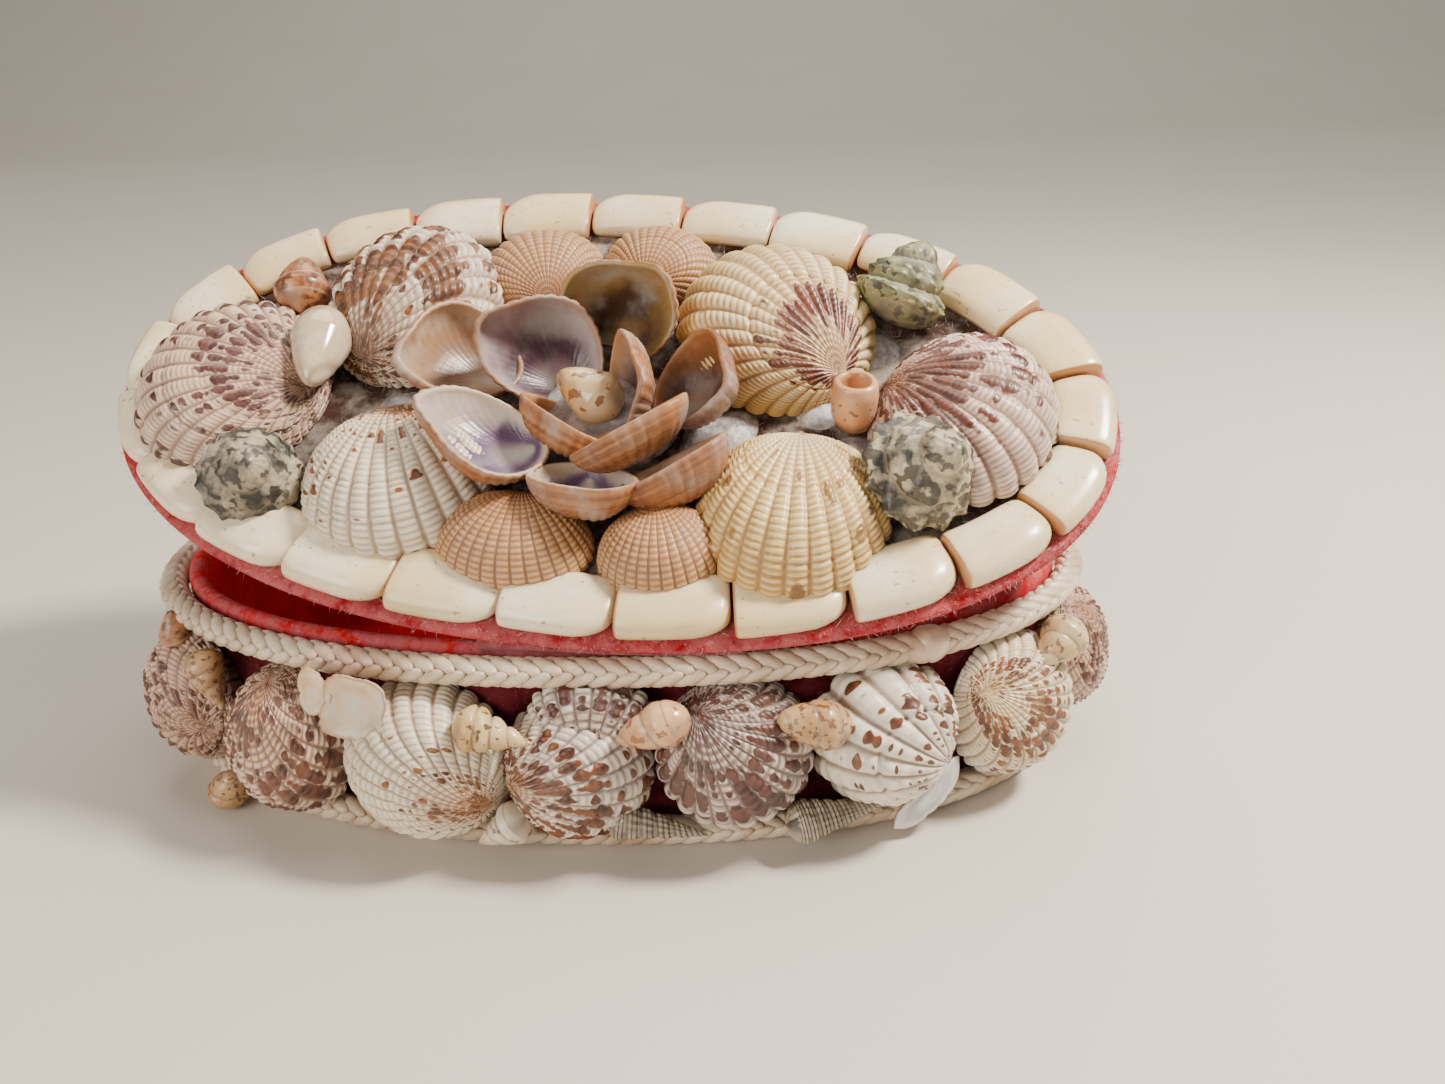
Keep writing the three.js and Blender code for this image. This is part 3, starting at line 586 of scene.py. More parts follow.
# Shells on the lid; lift is the height of the glue under the lowest point
lidShells = {"lift": 0.3, "plug": 1.5, "rows": 88, "beadDepth": 0.5, "clear": 0.02}
lidCockles = {  # across, away, width, length, dome, bearing of the fan, rise, ribs, rib height, beads, look, slot
    "lid_cockle_left": (-0.735, -0.135, 40, 34, 11, 176, 5, 30, 0.8, 40, "pinkDots", "cockle_shell"),
    "lid_cockle_upper_left": (-0.425, 0.29, 33, 36, 11, 72, 8, 26, 0.9, 22, "brownDash", "cockle_shell"),
    "lid_cockle_lower_left": (-0.335, -0.47, 34, 33, 10, -72, 5, 32, 0.7, 32, "whiteSpeck", "cockle_shell"),
    "lid_cockle_upper_right": (0.33, 0.28, 36, 37, 11, 138, 8, 30, 0.8, 30, "yellowBand", "cockle_shell"),
    "lid_cockle_lower_right": (0.4, -0.49, 32, 34, 10, -90, 5, 30, 0.85, 32, "yellow", "cockle_shell"),
    "lid_cockle_right": (0.7, -0.06, 37, 32, 11, -18, 5, 28, 0.75, 36, "redDash", "cockle_shell"),
    "lid_ark_far_left": (-0.185, 0.52, 25, 21, 7, 112, 6, 36, 0.3, 22, "tanArk", "ark_shell"),
    "lid_ark_far_right": (0.065, 0.6, 23, 19, 7, 78, 4, 36, 0.3, 22, "tanArk", "ark_shell"),
    "lid_ark_near_left": (-0.095, -0.675, 27, 20, 8, -92, 4, 40, 0.3, 24, "tanArk", "ark_shell"),
    "lid_ark_near_right": (0.175, -0.67, 21, 18.5, 8, -78, 4, 38, 0.3, 22, "tanArk", "ark_shell"),
}
for order, (name, row) in enumerate(lidCockles.items()):
    across, away, width, length, dome, fan, raised, ribs, relief, beads, look, slot = row
    lift = length / 2 * math.sin(math.radians(raised))
    shape = closedValve(2 * lift + lidShells["plug"], width=width, length=length, dome=dome, ribs=ribs, relief=relief,
                        beads=beads, rows=lidShells["rows"], beadDepth=lidShells["beadDepth"], seed=order + 40)
    points, faces, maps = placedAt(shape, lidPlace(across, away, lidShells["lift"] + lift, fan, raised))
    points[:, 2] = np.maximum(points[:, 2], lid["thickness"] + lidShells["clear"])
    finish = ribbedMaterial(name + "Shell", look, beads, order + 21)
    meshPiece(name, placedAt((points, faces, maps), lidAxes), finish, "lid", [name])
print("shell box: lid cockles and arks")


# Petals of the flower

def petalMaterial(name, look, seed):
    look = {**plainPetal, **look}
    made, tree, shader = material(name)
    rib, growth = surfaceMap(tree)
    inside = attribute(tree, "inside")
    point = objectPoint(tree)
    cloud = noise(tree, point, 130.0 + seed * 7, 3.0)
    lines = streaks(tree, rib, 0.05, growth, 20.0, float(seed), 3.0)
    rays = streaks(tree, rib, 0.55, growth, 1.0, float(seed), 2.0)
    outer = layer(tree, lines, 0.35, 0.65, look["outer"], look["outerDark"])
    outer = layer(tree, rays, 0.5, 0.72, outer, look["outerRay"], 0.6)
    inner = layer(tree, cloud, 0.35, 0.68, look["inner"], look["innerWarm"])
    # the dark blotch in the cup is a real stain; in the whitePurple look it is widened so that it also gives painted
    # shade
    away = calc(tree, "ABSOLUTE", calc(tree, "SUBTRACT", growth, look["blotchAt"]))
    ragged = calc(tree, "ADD", away, times(tree, calc(tree, "SUBTRACT", cloud, 0.5), 0.5))
    inner = layer(tree, ragged, look["blotch"], 0.02, inner, look["stain"], look["blotchDepth"])
    inner = layer(tree, growth, 0.84, 0.99, inner, look["rim"], 0.75)
    colour = blendColour(tree, inside, outer, inner)
    film = filmed(tree, colour, 0.5, ranged(tree, growth, 0.45, 0.0), look["film"])
    height = calc(tree, "ADD", times(tree, noise(tree, point, 2200.0, 2.0), 0.3), lines)
    rough = ranged(tree, inside, 0.0, 1.0, look["outerRough"], look["innerRough"])
    finished(tree, shader, film["Color"], rough, (height, 0.3, 0.0002), glow=0.08, glowRadius=(0.002, 0.0011, 0.0007))
    return made


plainPetal = {"outer": "#ac7648", "outerDark": "#844e2e", "outerRay": "#663426", "inner": "#d3bda6",
              "innerWarm": "#b28c70", "stain": "#4a2c38", "rim": "#d2ab7c", "blotchAt": 0.5, "blotch": 0.36,
              "blotchDepth": 0.85, "film": "#b9bdb8", "outerRough": 0.5, "innerRough": 0.3}
petalLooks = {
    "yellowPurple": {"inner": "#b79461", "innerWarm": "#94703f", "rim": "#d8c084", "stain": "#341a14",
                     "blotchDepth": 0.95},
    "lilac": {"inner": "#b7a6aa", "innerWarm": "#96787c", "stain": "#432338", "rim": "#b48e74", "blotchDepth": 0.95},
    "beige": {"inner": "#c9b29c", "innerWarm": "#a9825f", "stain": "#75503c", "blotchDepth": 0.7, "rim": "#b98d66"},
    # its purple blotch in the cup is real, and widened so that it also gives painted shade there
    "whitePurple": {"inner": "#cfc4bb", "innerWarm": "#b8a594", "stain": "#5a3d66", "blotchAt": 0.45, "blotch": 0.42,
                    "rim": "#d6c3a6", "blotchDepth": 0.95},
    "brown": {"inner": "#a06a40", "innerWarm": "#7b4828", "stain": "#40221c", "rim": "#b97c4a", "outer": "#8f5432"},
    "orange": {"inner": "#ae7c54", "innerWarm": "#8b5630", "outer": "#b07a4c", "outerDark": "#84502f",
               "outerRay": "#64382a", "rim": "#cd8e56"},
}

petalForm = {"thick": 0.85, "ribs": 40, "rows": 34, "widen": 1.14, "lengthen": 1.16, "deepen": 1.05,
             "corner": 0.6, "cornerReach": 0.34, "cornerOut": 0.2, "ripple": 0.55}


def petalShape(width, length, depth, seed, skew=0.0):
    # a thin cup with an outer and an inner face; its margin ripples and is drawn out to a corner
    thick = petalForm["thick"]
    size = dict(ribs=petalForm["ribs"], beads=1, rows=petalForm["rows"], perRib=4, beadDepth=0.0, seed=seed)
    outer, outerMap, outerTop = valveGrid(width, length, depth, relief=0.22, **size)
    inner, innerMap, innerTop = valveGrid(width - 2 * thick, length - 2 * thick, depth - thick, relief=0.05, **size)
    rim = (outer[-1] + inner[-1]) / 2
    rim[:, 2] = -0.22 + 0.1 * softNoise(len(rim), seed)
    rings = np.concatenate([outer, rim[None], inner[::-1]])
    along = np.clip((rings[:, :, 1] / length * 2 + 1) / 1.5, 0, 1)
    rings[:, :, 0] *= 0.66 + 0.38 * along ** 0.8
    rings[:, :, 0] += skew * rings[:, :, 1]
    turn = np.arctan2(rings[:, :, 0], rings[:, :, 1])
    fromCorner = (turn - petalForm["corner"] * np.sign(skew)) / petalForm["cornerReach"]
    rings[:, :, :2] *= (1 + petalForm["cornerOut"] * np.exp(-fromCorner ** 2))[:, :, None]
    outwardShare = np.hypot(rings[:, :, 0] / width, rings[:, :, 1] / length) * 2
    rings[:, :, 2] += petalForm["ripple"] * softNoise(rings.shape[1], seed + 9, 3)[None, :] * outwardShare ** 6
    maps = np.concatenate([outerMap, outerMap[-1:], innerMap[::-1]])
    faceOfRing = np.concatenate([np.zeros(len(outer)), [0.5], np.ones(len(inner))])
    inside = np.concatenate([[0.0], np.repeat(faceOfRing, rings.shape[1]), [1.0]])
    return skin(rings, maps, outerTop, innerTop), inside


petals = {  # across, away, height, width, length, depth, bearing, steepness, look, skew
    "petal_inner_left": (-0.04, -0.24, 14, 18, 14, 6, 240, 52, "orange", 0.12),
    "petal_inner_top": (0.055, -0.1, 15.5, 19, 17, 5, 15, 72, "orange", -0.1),
    "petal_inner_right": (0.1, -0.32, 12, 20, 15, 6, 312, 52, "orange", 0.1),
    "petal_top": (0.024, 0.2, 16, 22, 19, 6.5, 68, 60, "yellowPurple", -0.2),
    "petal_upper_left": (-0.115, 0.03, 12, 20, 19, 7, 140, 50, "lilac", 0.18),
    "petal_left": (-0.26, -0.04, 11, 19, 18, 7, 178, 40, "beige", 0.1),
    "petal_lower_left": (-0.17, -0.39, 12.5, 20, 18, 6, 213, 34, "whitePurple", -0.1),
    "petal_right": (0.185, -0.1, 11, 18, 17, 7, 5, 50, "brown", -0.12),
    "petal_lower_right": (0.175, -0.43, 8, 18, 14, 7, 312, 50, "beige", 0.15),
    "petal_bottom": (0.027, -0.5, 9.5, 17, 15, 6.5, 268, 40, "whitePurple", 0.12),
}
for order, (name, row) in enumerate(petals.items()):
    across, away, height, width, length, depth, bearing, steep, look, skew = row
    shape, inside = petalShape(width * petalForm["widen"], length * petalForm["lengthen"], depth * petalForm["deepen"],
                               order + 70, skew)
    place = lidPlace(across, away, height, bearing, steep) @ turned("Y", 180)
    finish = petalMaterial(name + "Shell", petalLooks[look], order + 1)
    meshPiece(name, settled(placedAt(shape, place, lidAxes), name), finish, "lid", [name],
              {"inside": inside})
print("shell box: flower")


# Small shells

def spiralShape(length, radius, whorls, knobs=0, knobHeight=0.0, knobRows=(0.62,), beads=0.0, blunt=0.85, base=0.27,
                bulge=0.2, ringsAcross=0, ringHeight=0.0):
    # a turned spire whose whorls run up it as a helix; the axis is +Y with the tip at +Y
    rows, sides = 90, 72
    t = np.linspace(0, 1, rows + 2)[1:-1]
    rise = np.sqrt(np.maximum(0, 1 - ((base - t) / base) ** 2))
    fall = np.maximum(0, 1 - (t - base) / (1 - base)) ** blunt
    envelope = np.where(t < base, rise, fall)[:, None]
    theta = (2 * math.pi * np.arange(sides) / sides)[None, :]
    climb = np.maximum(0, (t - base * 0.55) / (1 - base * 0.55)) ** 0.85
    phase = climb[:, None] * whorls - theta / (2 * math.pi)
    part = phase - np.floor(phase)
    fade = np.clip((t[:, None] - base * 0.6) * 6, 0, 1)
    swell = np.sin(math.pi * part) ** 0.55
    r = envelope * (1 - bulge * fade * (1 - swell))
    for at in knobRows:
        tooth = (0.5 + 0.5 * np.cos(knobs * theta)) ** 1.6 if knobs else 0
        r = r + knobHeight * envelope * tooth * np.exp(-((part - at) / 0.13) ** 2)
    if beads:
        r = r + beads * envelope * np.cos(theta * 22) * np.cos(part * 2 * math.pi * 4) * 0.5
    if ringsAcross:
        r = r + ringHeight * envelope * np.cos(theta * ringsAcross) * swell
    r = r * radius
    y = np.broadcast_to((t[:, None] - 0.5) * length, r.shape)
    grid = np.stack([r * np.sin(theta), y, r * np.cos(theta)], axis=-1)
    maps = np.zeros((rows, sides + 1, 2))
    maps[:, :-1, 0] = theta / (2 * math.pi) * 10
    maps[:, -1, 0] = 10
    maps[:, :-1, 1] = phase
    maps[:, -1, 1] = phase[:, 0] - 1
    return outwards(skin(grid, maps, np.array([0, -length / 2, 0]), np.array([0, length / 2, 0])))


def tubeShape(length, radius, wallThick, sides=40):
    # a short open tube seen from its mouth; the profile is a radius and a place along the tube
    profile = [(radius * 0.7, 0), (radius * 0.95, length * 0.3), (radius, length * 0.7), (radius * 0.93, length * 0.93),
               (radius * 0.8, length), (radius * 0.62, length * 0.97), (radius - wallThick, length * 0.85),
               (radius * 0.42, length * 0.5), (radius * 0.3, length * 0.35)]
    turn = np.linspace(0, 2 * math.pi, sides, endpoint=False)
    rings = np.array([np.column_stack([r * np.sin(turn), np.full(sides, y), r * np.cos(turn)]) for r, y in profile])
    rings[:, :, 0] *= 1 + 0.06 * softNoise(sides, 5)[None, :]
    maps = evenMaps(np.linspace(0, 5, sides + 1), np.linspace(0, 0.9, len(profile)))
    return outwards(skin(rings, maps, np.array([0, 0, 0.0]), np.array([0, length * 0.3, 0])))


def snailMaterial(name, look):
    look = {**plainSnail, **snailLooks[look]}
    made, tree, shader = material(name)
    climb = surfaceMap(tree)[1]
    point = objectPoint(tree)
    cloud = noise(tree, point, look["patch"], 3.0, 0.6)
    spots = noise(tree, point, look["spot"], 2.0)
    fromMiddle = calc(tree, "ABSOLUTE", calc(tree, "SUBTRACT", calc(tree, "FRACT", climb), 0.5))
    seam = ranged(tree, fromMiddle, 0.38, 0.5)
    stripe = calc(tree, "SINE", times(tree, climb, look["stripes"] * 2 * math.pi))
    colour = layer(tree, cloud, 0.36, 0.66, look["body"], look["patchColour"])
    colour = layer(tree, spots, look["spotEdge"], look["spotEdge"] + 0.05, colour, look["spotColour"],
                   look["spotDepth"])
    colour = layer(tree, stripe, 0.1, 0.6, colour, look["spotColour"], look["stripeDepth"])
    colour = blendColour(tree, times(tree, seam, 0.5), colour, look["seam"])
    film = filmed(tree, colour, look["dust"], seam)
    finished(tree, shader, film["Color"], look["rough"], (noise(tree, point, 1500.0, 3.0), look["grain"], 0.0002),
             coat=look["coat"], coatRough=0.15)
    return made


plainSnail = {"body": "#d8bf95", "patchColour": "#bb8c5c", "spotColour": "#6a381c", "seam": "#714828", "patch": 160.0,
              "spot": 620.0, "spotEdge": 0.6, "spotDepth": 0.85, "stripes": 0.0, "stripeDepth": 0.0, "dust": 0.3,
              "rough": 0.33, "coat": 0.25, "grain": 0.2}
snailLooks = {
    "brown": {"body": "#b98052", "patchColour": "#7b3f20", "spotColour": "#552611", "seam": "#c99a70", "patch": 330.0,
              "spot": 420.0, "spotEdge": 0.52},
    "cream": {"body": "#dcc394", "patchColour": "#c19c62", "spotColour": "#4f2c18", "spotEdge": 0.59},
    "peach": {"body": "#ddb78c", "patchColour": "#cd9566", "spotColour": "#8f5026", "rough": 0.25, "coat": 0.5},
    "speckled": {"body": "#c9a574", "patchColour": "#ab7e4e", "spotColour": "#693a20", "spot": 900.0, "spotEdge": 0.55},
    "white": {"body": "#e6dcc8", "patchColour": "#cfbb98", "spotColour": "#744c2c", "spotEdge": 0.64, "rough": 0.25},
    "gloss": {"body": "#dccdb4", "patchColour": "#c9b08a", "spotColour": "#a67a4e", "spotEdge": 0.72, "spotDepth": 0.3,
              "rough": 0.12, "coat": 0.8, "dust": 0.15, "grain": 0.03},
    "centre": {"body": "#e4d0a6", "patchColour": "#cfa668", "spotColour": "#8a4c1c", "spot": 420.0, "spotEdge": 0.6,
               "rough": 0.15, "coat": 0.7, "dust": 0.15, "grain": 0.05},
    "turbanDark": {"body": "#a79c84", "patchColour": "#2c2822", "spotColour": "#1d1a16", "seam": "#574c3a",
                   "patch": 210.0, "spot": 420.0, "spotEdge": 0.5,
                   "dust": 0.35, "rough": 0.5, "coat": 0.15, "grain": 0.6},
    "turbanPale": {"body": "#c4b797", "patchColour": "#2e2a25", "spotColour": "#1d1a17", "seam": "#7b6c50",
                   "patch": 240.0, "spot": 380.0, "spotEdge": 0.49,
                   "dust": 0.3, "rough": 0.45, "coat": 0.2, "grain": 0.6},
    "turbanGreen": {"body": "#9a966a", "patchColour": "#4c5034", "spotColour": "#24261c", "seam": "#3c3c28",
                    "patch": 200.0, "spot": 420.0, "spotEdge": 0.54,
                    "dust": 0.35, "rough": 0.5, "coat": 0.15, "grain": 0.6},
    "horn": {"body": "#b3a892", "patchColour": "#8f8068", "spotColour": "#171412", "seam": "#2c2620", "stripes": 3.0,
             "stripeDepth": 0.9, "spotDepth": 0.4, "grain": 0.4},
    "tube": {"body": "#d6a37a", "patchColour": "#c08558", "spotColour": "#8a5030", "seam": "#8d5c38", "rough": 0.3},
}


def smallShell(name, look, form, places, body, solid=True):
    # a small shell; one that has a solid takes the place where that came to rest
    shape = placedAt((tubeShape if look == "tube" else spiralShape)(**form), *places)
    if solid:
        shape = settled(shape, name)
    meshPiece(name, shape, snailMaterial(name + "Shell", look), body, [name] if solid else ())


wallSnails = {  # bearing, height, bearing of the tip, distance out, look, form
    "wall_snail_1": (222.3, 7, -70, 8.6, "speckled", dict(length=12, radius=3.6, whorls=3.4)),
    "wall_snail_2": (262.8, 7.8, -15, 8.9, "cream", dict(length=13, radius=3.9, whorls=4.2, bulge=0.28, beads=0.05)),
    "wall_snail_3": (276, 8.3, 200, 8.5, "peach", dict(length=12.5, radius=3.9, whorls=2.4, bulge=0.1, blunt=0.55,
                                                       base=0.4)),
    "wall_snail_4": (292, 8, 165, 8.8, "speckled", dict(length=12.5, radius=4.2, whorls=2.4, bulge=0.08, blunt=0.5,
                                                        base=0.42)),
    "wall_snail_5": (262.5, -11, 215, 8.8, "white", dict(length=11, radius=3.8, whorls=3.2, bulge=0.25)),
    "horn_shell": (294.5, -11, 5, 8.6, "horn", dict(length=17, radius=3.6, whorls=7, bulge=0.16, ringsAcross=16,
                                                    ringHeight=0.06, base=0.2)),
}
for name, (bearing, height, tip, out, look, form) in wallSnails.items():
    smallShell(name, look, form, [wallPlace(bearing, height, tip, out)], "box")

lidSnails = {  # across, away, height, bearing of the tip, steepness, look, form
    "snail_far_left": (-0.675, 0.34, 6, 100, 15, "brown", dict(
        length=12.5, radius=5.4, whorls=2.2, blunt=0.55, bulge=0.08, base=0.42)),
    "turban_near_left": (-0.585, -0.57, 8, -40, 60, "turbanDark", dict(
        length=15, radius=8.3, whorls=3.4, knobs=16, knobHeight=0.075, knobRows=(0.25, 0.5, 0.75), beads=0.05,
        bulge=0.14, blunt=0.62, base=0.34)),
    "turban_far_right": (0.585, 0.47, 8, 60, 40, "turbanGreen", dict(
        length=16, radius=8.3, whorls=2.8, knobs=12, knobHeight=0.11, knobRows=(0.35, 0.7), beads=0.04, bulge=0.16,
        blunt=0.6, base=0.36)),
    "turban_near_right": (0.64, -0.36, 10, -30, 60, "turbanPale", dict(
        length=17.5, radius=9.6, whorls=2.9, knobs=12, knobHeight=0.12, knobRows=(0.3, 0.62), beads=0.05, bulge=0.16,
        blunt=0.66, base=0.34)),
    "spire_right": (0.495, -0.075, 9, 90, 70, "tube", dict(length=9.0, radius=4.2, wallThick=1.5)),
    "flower_centre": (-0.012, -0.1, 17, 160, 20, "centre", dict(
        length=13, radius=5, whorls=1, bulge=0.03, blunt=0.5, base=0.4)),
    "bean_shell": (-0.56, -0.01, 9, -80, 5, "gloss", dict(
        length=19, radius=5.4, whorls=1, bulge=0.02, blunt=0.5, base=0.42)),
}
for name, (across, away, height, bearing, steep, look, form) in lidSnails.items():
    smallShell(name, look, form, [lidPlace(across, away, height, bearing, steep), lidAxes], "lid")
print("shell box: small shells")


# Chips and other bits that fill the gaps; these have no solids

def shardShape(size, corners, bulge, thick, seed):
    # a curved broken plate; corners are distances from its middle at even turns
    rows, sides = 10, 72
    rng = np.random.RandomState(seed)
    turn = np.linspace(0, 2 * math.pi, sides, endpoint=False)
    spaced = np.interp(turn / (2 * math.pi) * len(corners), np.arange(len(corners) + 1), [*corners, corners[0]])
    outline = size * spaced * (1 + 0.03 * rng.uniform(-1, 1, sides))
    top, under = [], []
    for share in np.linspace(0.1, 1, rows):
        x, y = outline * share * np.sin(turn), -outline * share * np.cos(turn)
        z = bulge * (1 - (x * x + y * y) / size ** 2)
        top.append(np.column_stack([x, y, z]))
        under.append(np.column_stack([x * 0.97, y * 0.97, z - thick]))
    rings = np.array(top + under[::-1])
    maps = evenMaps(np.linspace(0, 6, sides + 1), np.concatenate([np.linspace(0, 1, rows), np.linspace(1, 0, rows)]))
    inside = np.concatenate([[1], np.repeat([1] * rows + [0] * rows, sides), [0]])
    return outwards(skin(rings, maps, np.array([0, 0, bulge]), np.array([0, 0, bulge - thick]))), inside


extraSnails = {  # bearing, height, bearing of the tip, distance out, look, form
    "peach_pebble": (211, 12.5, 90, 5.5, "brown", dict(
        length=8, radius=3, whorls=1.2, bulge=0.05, blunt=0.5, base=0.45)),
    "end_snail": (329.6, 10.2, 200, 8.2, "cream", dict(
        length=11, radius=4.3, whorls=2.6, bulge=0.12, blunt=0.6, base=0.36)),
    "foot_snail": (223.6, -13.7, 60, 8.6, "speckled", dict(
        length=8.4, radius=3.7, whorls=2.4, bulge=0.12, blunt=0.5, base=0.44)),
    "broken_horn": (276, -11.2, -14, 7.5, "horn", dict(
        length=17, radius=3.1, whorls=6, bulge=0.18, ringsAcross=13, ringHeight=0.08, base=0.12)),
}
for name, (bearing, height, tip, out, look, form) in extraSnails.items():
    smallShell(name, look, form, [wallPlace(bearing, height, tip, out)], "box", solid=False)

# A broken cockle behind the fourth one of the front, seen above it
rimCockle = {"root": 4, "width": 21, "length": 15, "dome": 5, "ribs": 24, "relief": 0.7, "beads": 12, "rows": 44,
             "beadDepth": 0.5, "seed": 61}
shape = closedValve(**rimCockle)
meshPiece("rim_cockle", outsideWall(placedAt(shape, wallPlace(270.6, 7.2, 84, 3.0, 4))),
          ribbedMaterial("rim_cockleShell", "purple", rimCockle["beads"], 31), "box")

chips = {  # bearing, height, turn, distance out, lean, size, corners, bulge, look
    "chip_large": (248.6, 11.2, 35, 10.5, 8, 6.6, (1.05, 0.8, 1.05, 0.78, 1.1, 0.8, 1.0, 0.8), -1.6, "pale"),
    "chip_small": (243.8, 12.6, 60, 9.0, 5, 4.3, (1.2, 0.6, 0.75, 0.7, 1.1, 0.6), 1.0, "pale"),
    "chip_foot": (306.5, -10.8, 38, 8.2, 10, 7.2, (1.1, 0.42, 0.34, 0.5, 1.2, 0.36, 0.3, 0.42), 1.2, "milky"),
}
chipLooks = {
    "pale": {"inner": "#eadbc2", "innerWarm": "#dcb98c", "stain": "#c08f5e", "rim": "#b98a58", "outer": "#d8bd9c",
             "blotchDepth": 0.3},
    "milky": {"inner": "#dcdcdc", "innerWarm": "#c2b8b8", "stain": "#77606c", "rim": "#d9d2ca", "blotchDepth": 0.5},
}
chipThickness = 0.8
for order, (name, row) in enumerate(chips.items()):
    bearing, height, turn, out, lean, size, corners, bulge, look = row
    shape, inside = shardShape(size, corners, bulge, chipThickness, order)
    finish = petalMaterial(name + "Shell", chipLooks[look], order + 30)
    meshPiece(name, placedAt(shape, wallPlace(bearing, height, turn, out, lean)), finish, "box",
              attributes={"inside": inside})
print("shell box: chips and bits")


# Glue that holds the flower and shows between the shells

glue = {"colour": "#c9c6c4", "shade": "#8c8486", "rim": 0.35, "lumps": 0.3, "bed": -0.3}
glueSpots = [  # across, away, radius, height
    (-0.015, -0.18, 14.0, 4.6), (0.25, -0.13, 7.0, 2.6), (0.3, -0.36, 5.5, 2.4), (0.42, 0.0, 5.5, 1.8),
    (0.49, -0.22, 6.0, 2.2), (0.45, -0.6, 4.0, 1.6), (0.7, 0.14, 5.0, 1.8), (0.52, 0.3, 5.5, 1.8),
    (-0.4, -0.14, 5.0, 1.6), (-0.13, -0.64, 5.0, 1.8), (0.13, -0.68, 4.5, 1.8), (0.2, 0.32, 5.0, 1.8),
    (-0.42, 0.3, 4.0, 1.4),
]


def glueShape(radius, top, seed):
    # a low mound with a wavy outline
    rows, sides = 12, 48
    rings = np.zeros((rows, sides, 3))
    turn = np.linspace(0, 2 * math.pi, sides, endpoint=False)
    outline = radius * (1 + glue["rim"] * softNoise(sides, seed, 4))
    lumps = softNoise(sides, seed + 1, 7)
    for row, share in enumerate(np.linspace(0.12, 1, rows)):
        rings[row, :, 0], rings[row, :, 1] = outline * share * np.sin(turn), outline * share * np.cos(turn)
        rings[row, :, 2] = top * (1 - share ** 2.2) * (1 + glue["lumps"] * lumps * share)
    maps = np.zeros((rows, sides + 1, 2))
    return outwards(skin(rings, maps, np.array([0, 0, top]), np.array([0, 0, 0.0])))


def glueMaterial():
    made, tree, shader = material("clearGlue")
    point = objectPoint(tree)
    colour = layer(tree, noise(tree, point, 330.0, 4.0, 0.6), 0.38, 0.66, glue["shade"], glue["colour"])
    finished(tree, shader, colour, 0.42, (noise(tree, point, 700.0, 3.0), 0.6, 0.0006))
    return made


spots = []
for order, (across, away, radius, top) in enumerate(glueSpots):
    mound = glueShape(radius, top, order * 3 + 5)
    spots.append(placedAt(mound, lidPlace(across, away, glue["bed"], 0, 0), lidAxes))
meshPiece("lid_glue", joined(spots), glueMaterial(), "lid")
print("shell box: glue")


# Slabs round the lid's edge

slabLook = {"body": "#f3e7c8", "warm": "#e6cd98", "streak": "#c9a870", "cutFace": "#b3713a", "speck": "#7b6448",
            "film": "#b3a58e", "dust": 0.22, "coat": 0.3, "coatRough": 0.15}


def slabMaterial():
    made, tree, shader = material("ivorySlab")
    along, around = surfaceMap(tree)
    point = objectPoint(tree)
    cloud = noise(tree, point, 45.0, 3.0)
    streak = noise(tree, combined(tree, along, times(tree, around, 9.0), 0.0), 3.0, 3.0)
    colour = layer(tree, cloud, 0.35, 0.65, slabLook["body"], slabLook["warm"])
    colour = layer(tree, streak, 0.55, 0.8, colour, slabLook["streak"], 0.5)
    cut = times(tree, attribute(tree, "cut"), ranged(tree, cloud, 0.3, 0.6, 0.35, 0.9))
    colour = blendColour(tree, cut, colour, slabLook["cutFace"])
    colour = layer(tree, noise(tree, point, 900.0, 1.0), 0.71, 0.75, colour, slabLook["speck"], 0.6)
    film = filmed(tree, colour, slabLook["dust"], film=slabLook["film"])
    finished(tree, shader, film["Color"], ranged(tree, cloud, 0.3, 0.7, 0.22, 0.36),
             (noise(tree, point, 700.0, 2.0), 0.08, 0.0002), coat=slabLook["coat"], coatRough=slabLook["coatRough"],
             glow=0.12, glowRadius=(0.003, 0.002, 0.001))
    return made


slab = {"count": 24, "depth": 12, "thickness": 4.4, "inset": 1, "start": -28, "seam": 0.5}
slabSection = np.array([  # shares of the depth and of the thickness, once round the section
    (0.30, 0.0), (0.12, 0.0), (0.03, 0.10), (0.0, 0.34), (0.015, 0.6), (0.07, 0.82), (0.17, 0.95), (0.32, 1.0),
    (0.55, 0.97), (0.78, 0.9), (0.92, 0.78), (0.985, 0.6), (1.0, 0.35), (0.97, 0.08), (0.85, 0.0), (0.6, 0.0)])
slabRings = np.array([  # places along a slab and how full its section is there
    (0, 0.86), (0.01, 0.93), (0.03, 0.97), (0.07, 0.99), (0.14, 1), (0.28, 1), (0.42, 1), (0.56, 1), (0.68, 1),
    (0.78, 0.99), (0.86, 0.975), (0.92, 0.95), (0.96, 0.9), (0.985, 0.82), (1.0, 0.7)])
stepsPerSlab = 60
slabSteps = slab["count"] * stepsPerSlab
slabWalk = ovalWalk(lid["halfLength"] - slab["inset"], lid["halfDepth"] - slab["inset"], lid["roundness"], slabSteps,
                    slab["start"])


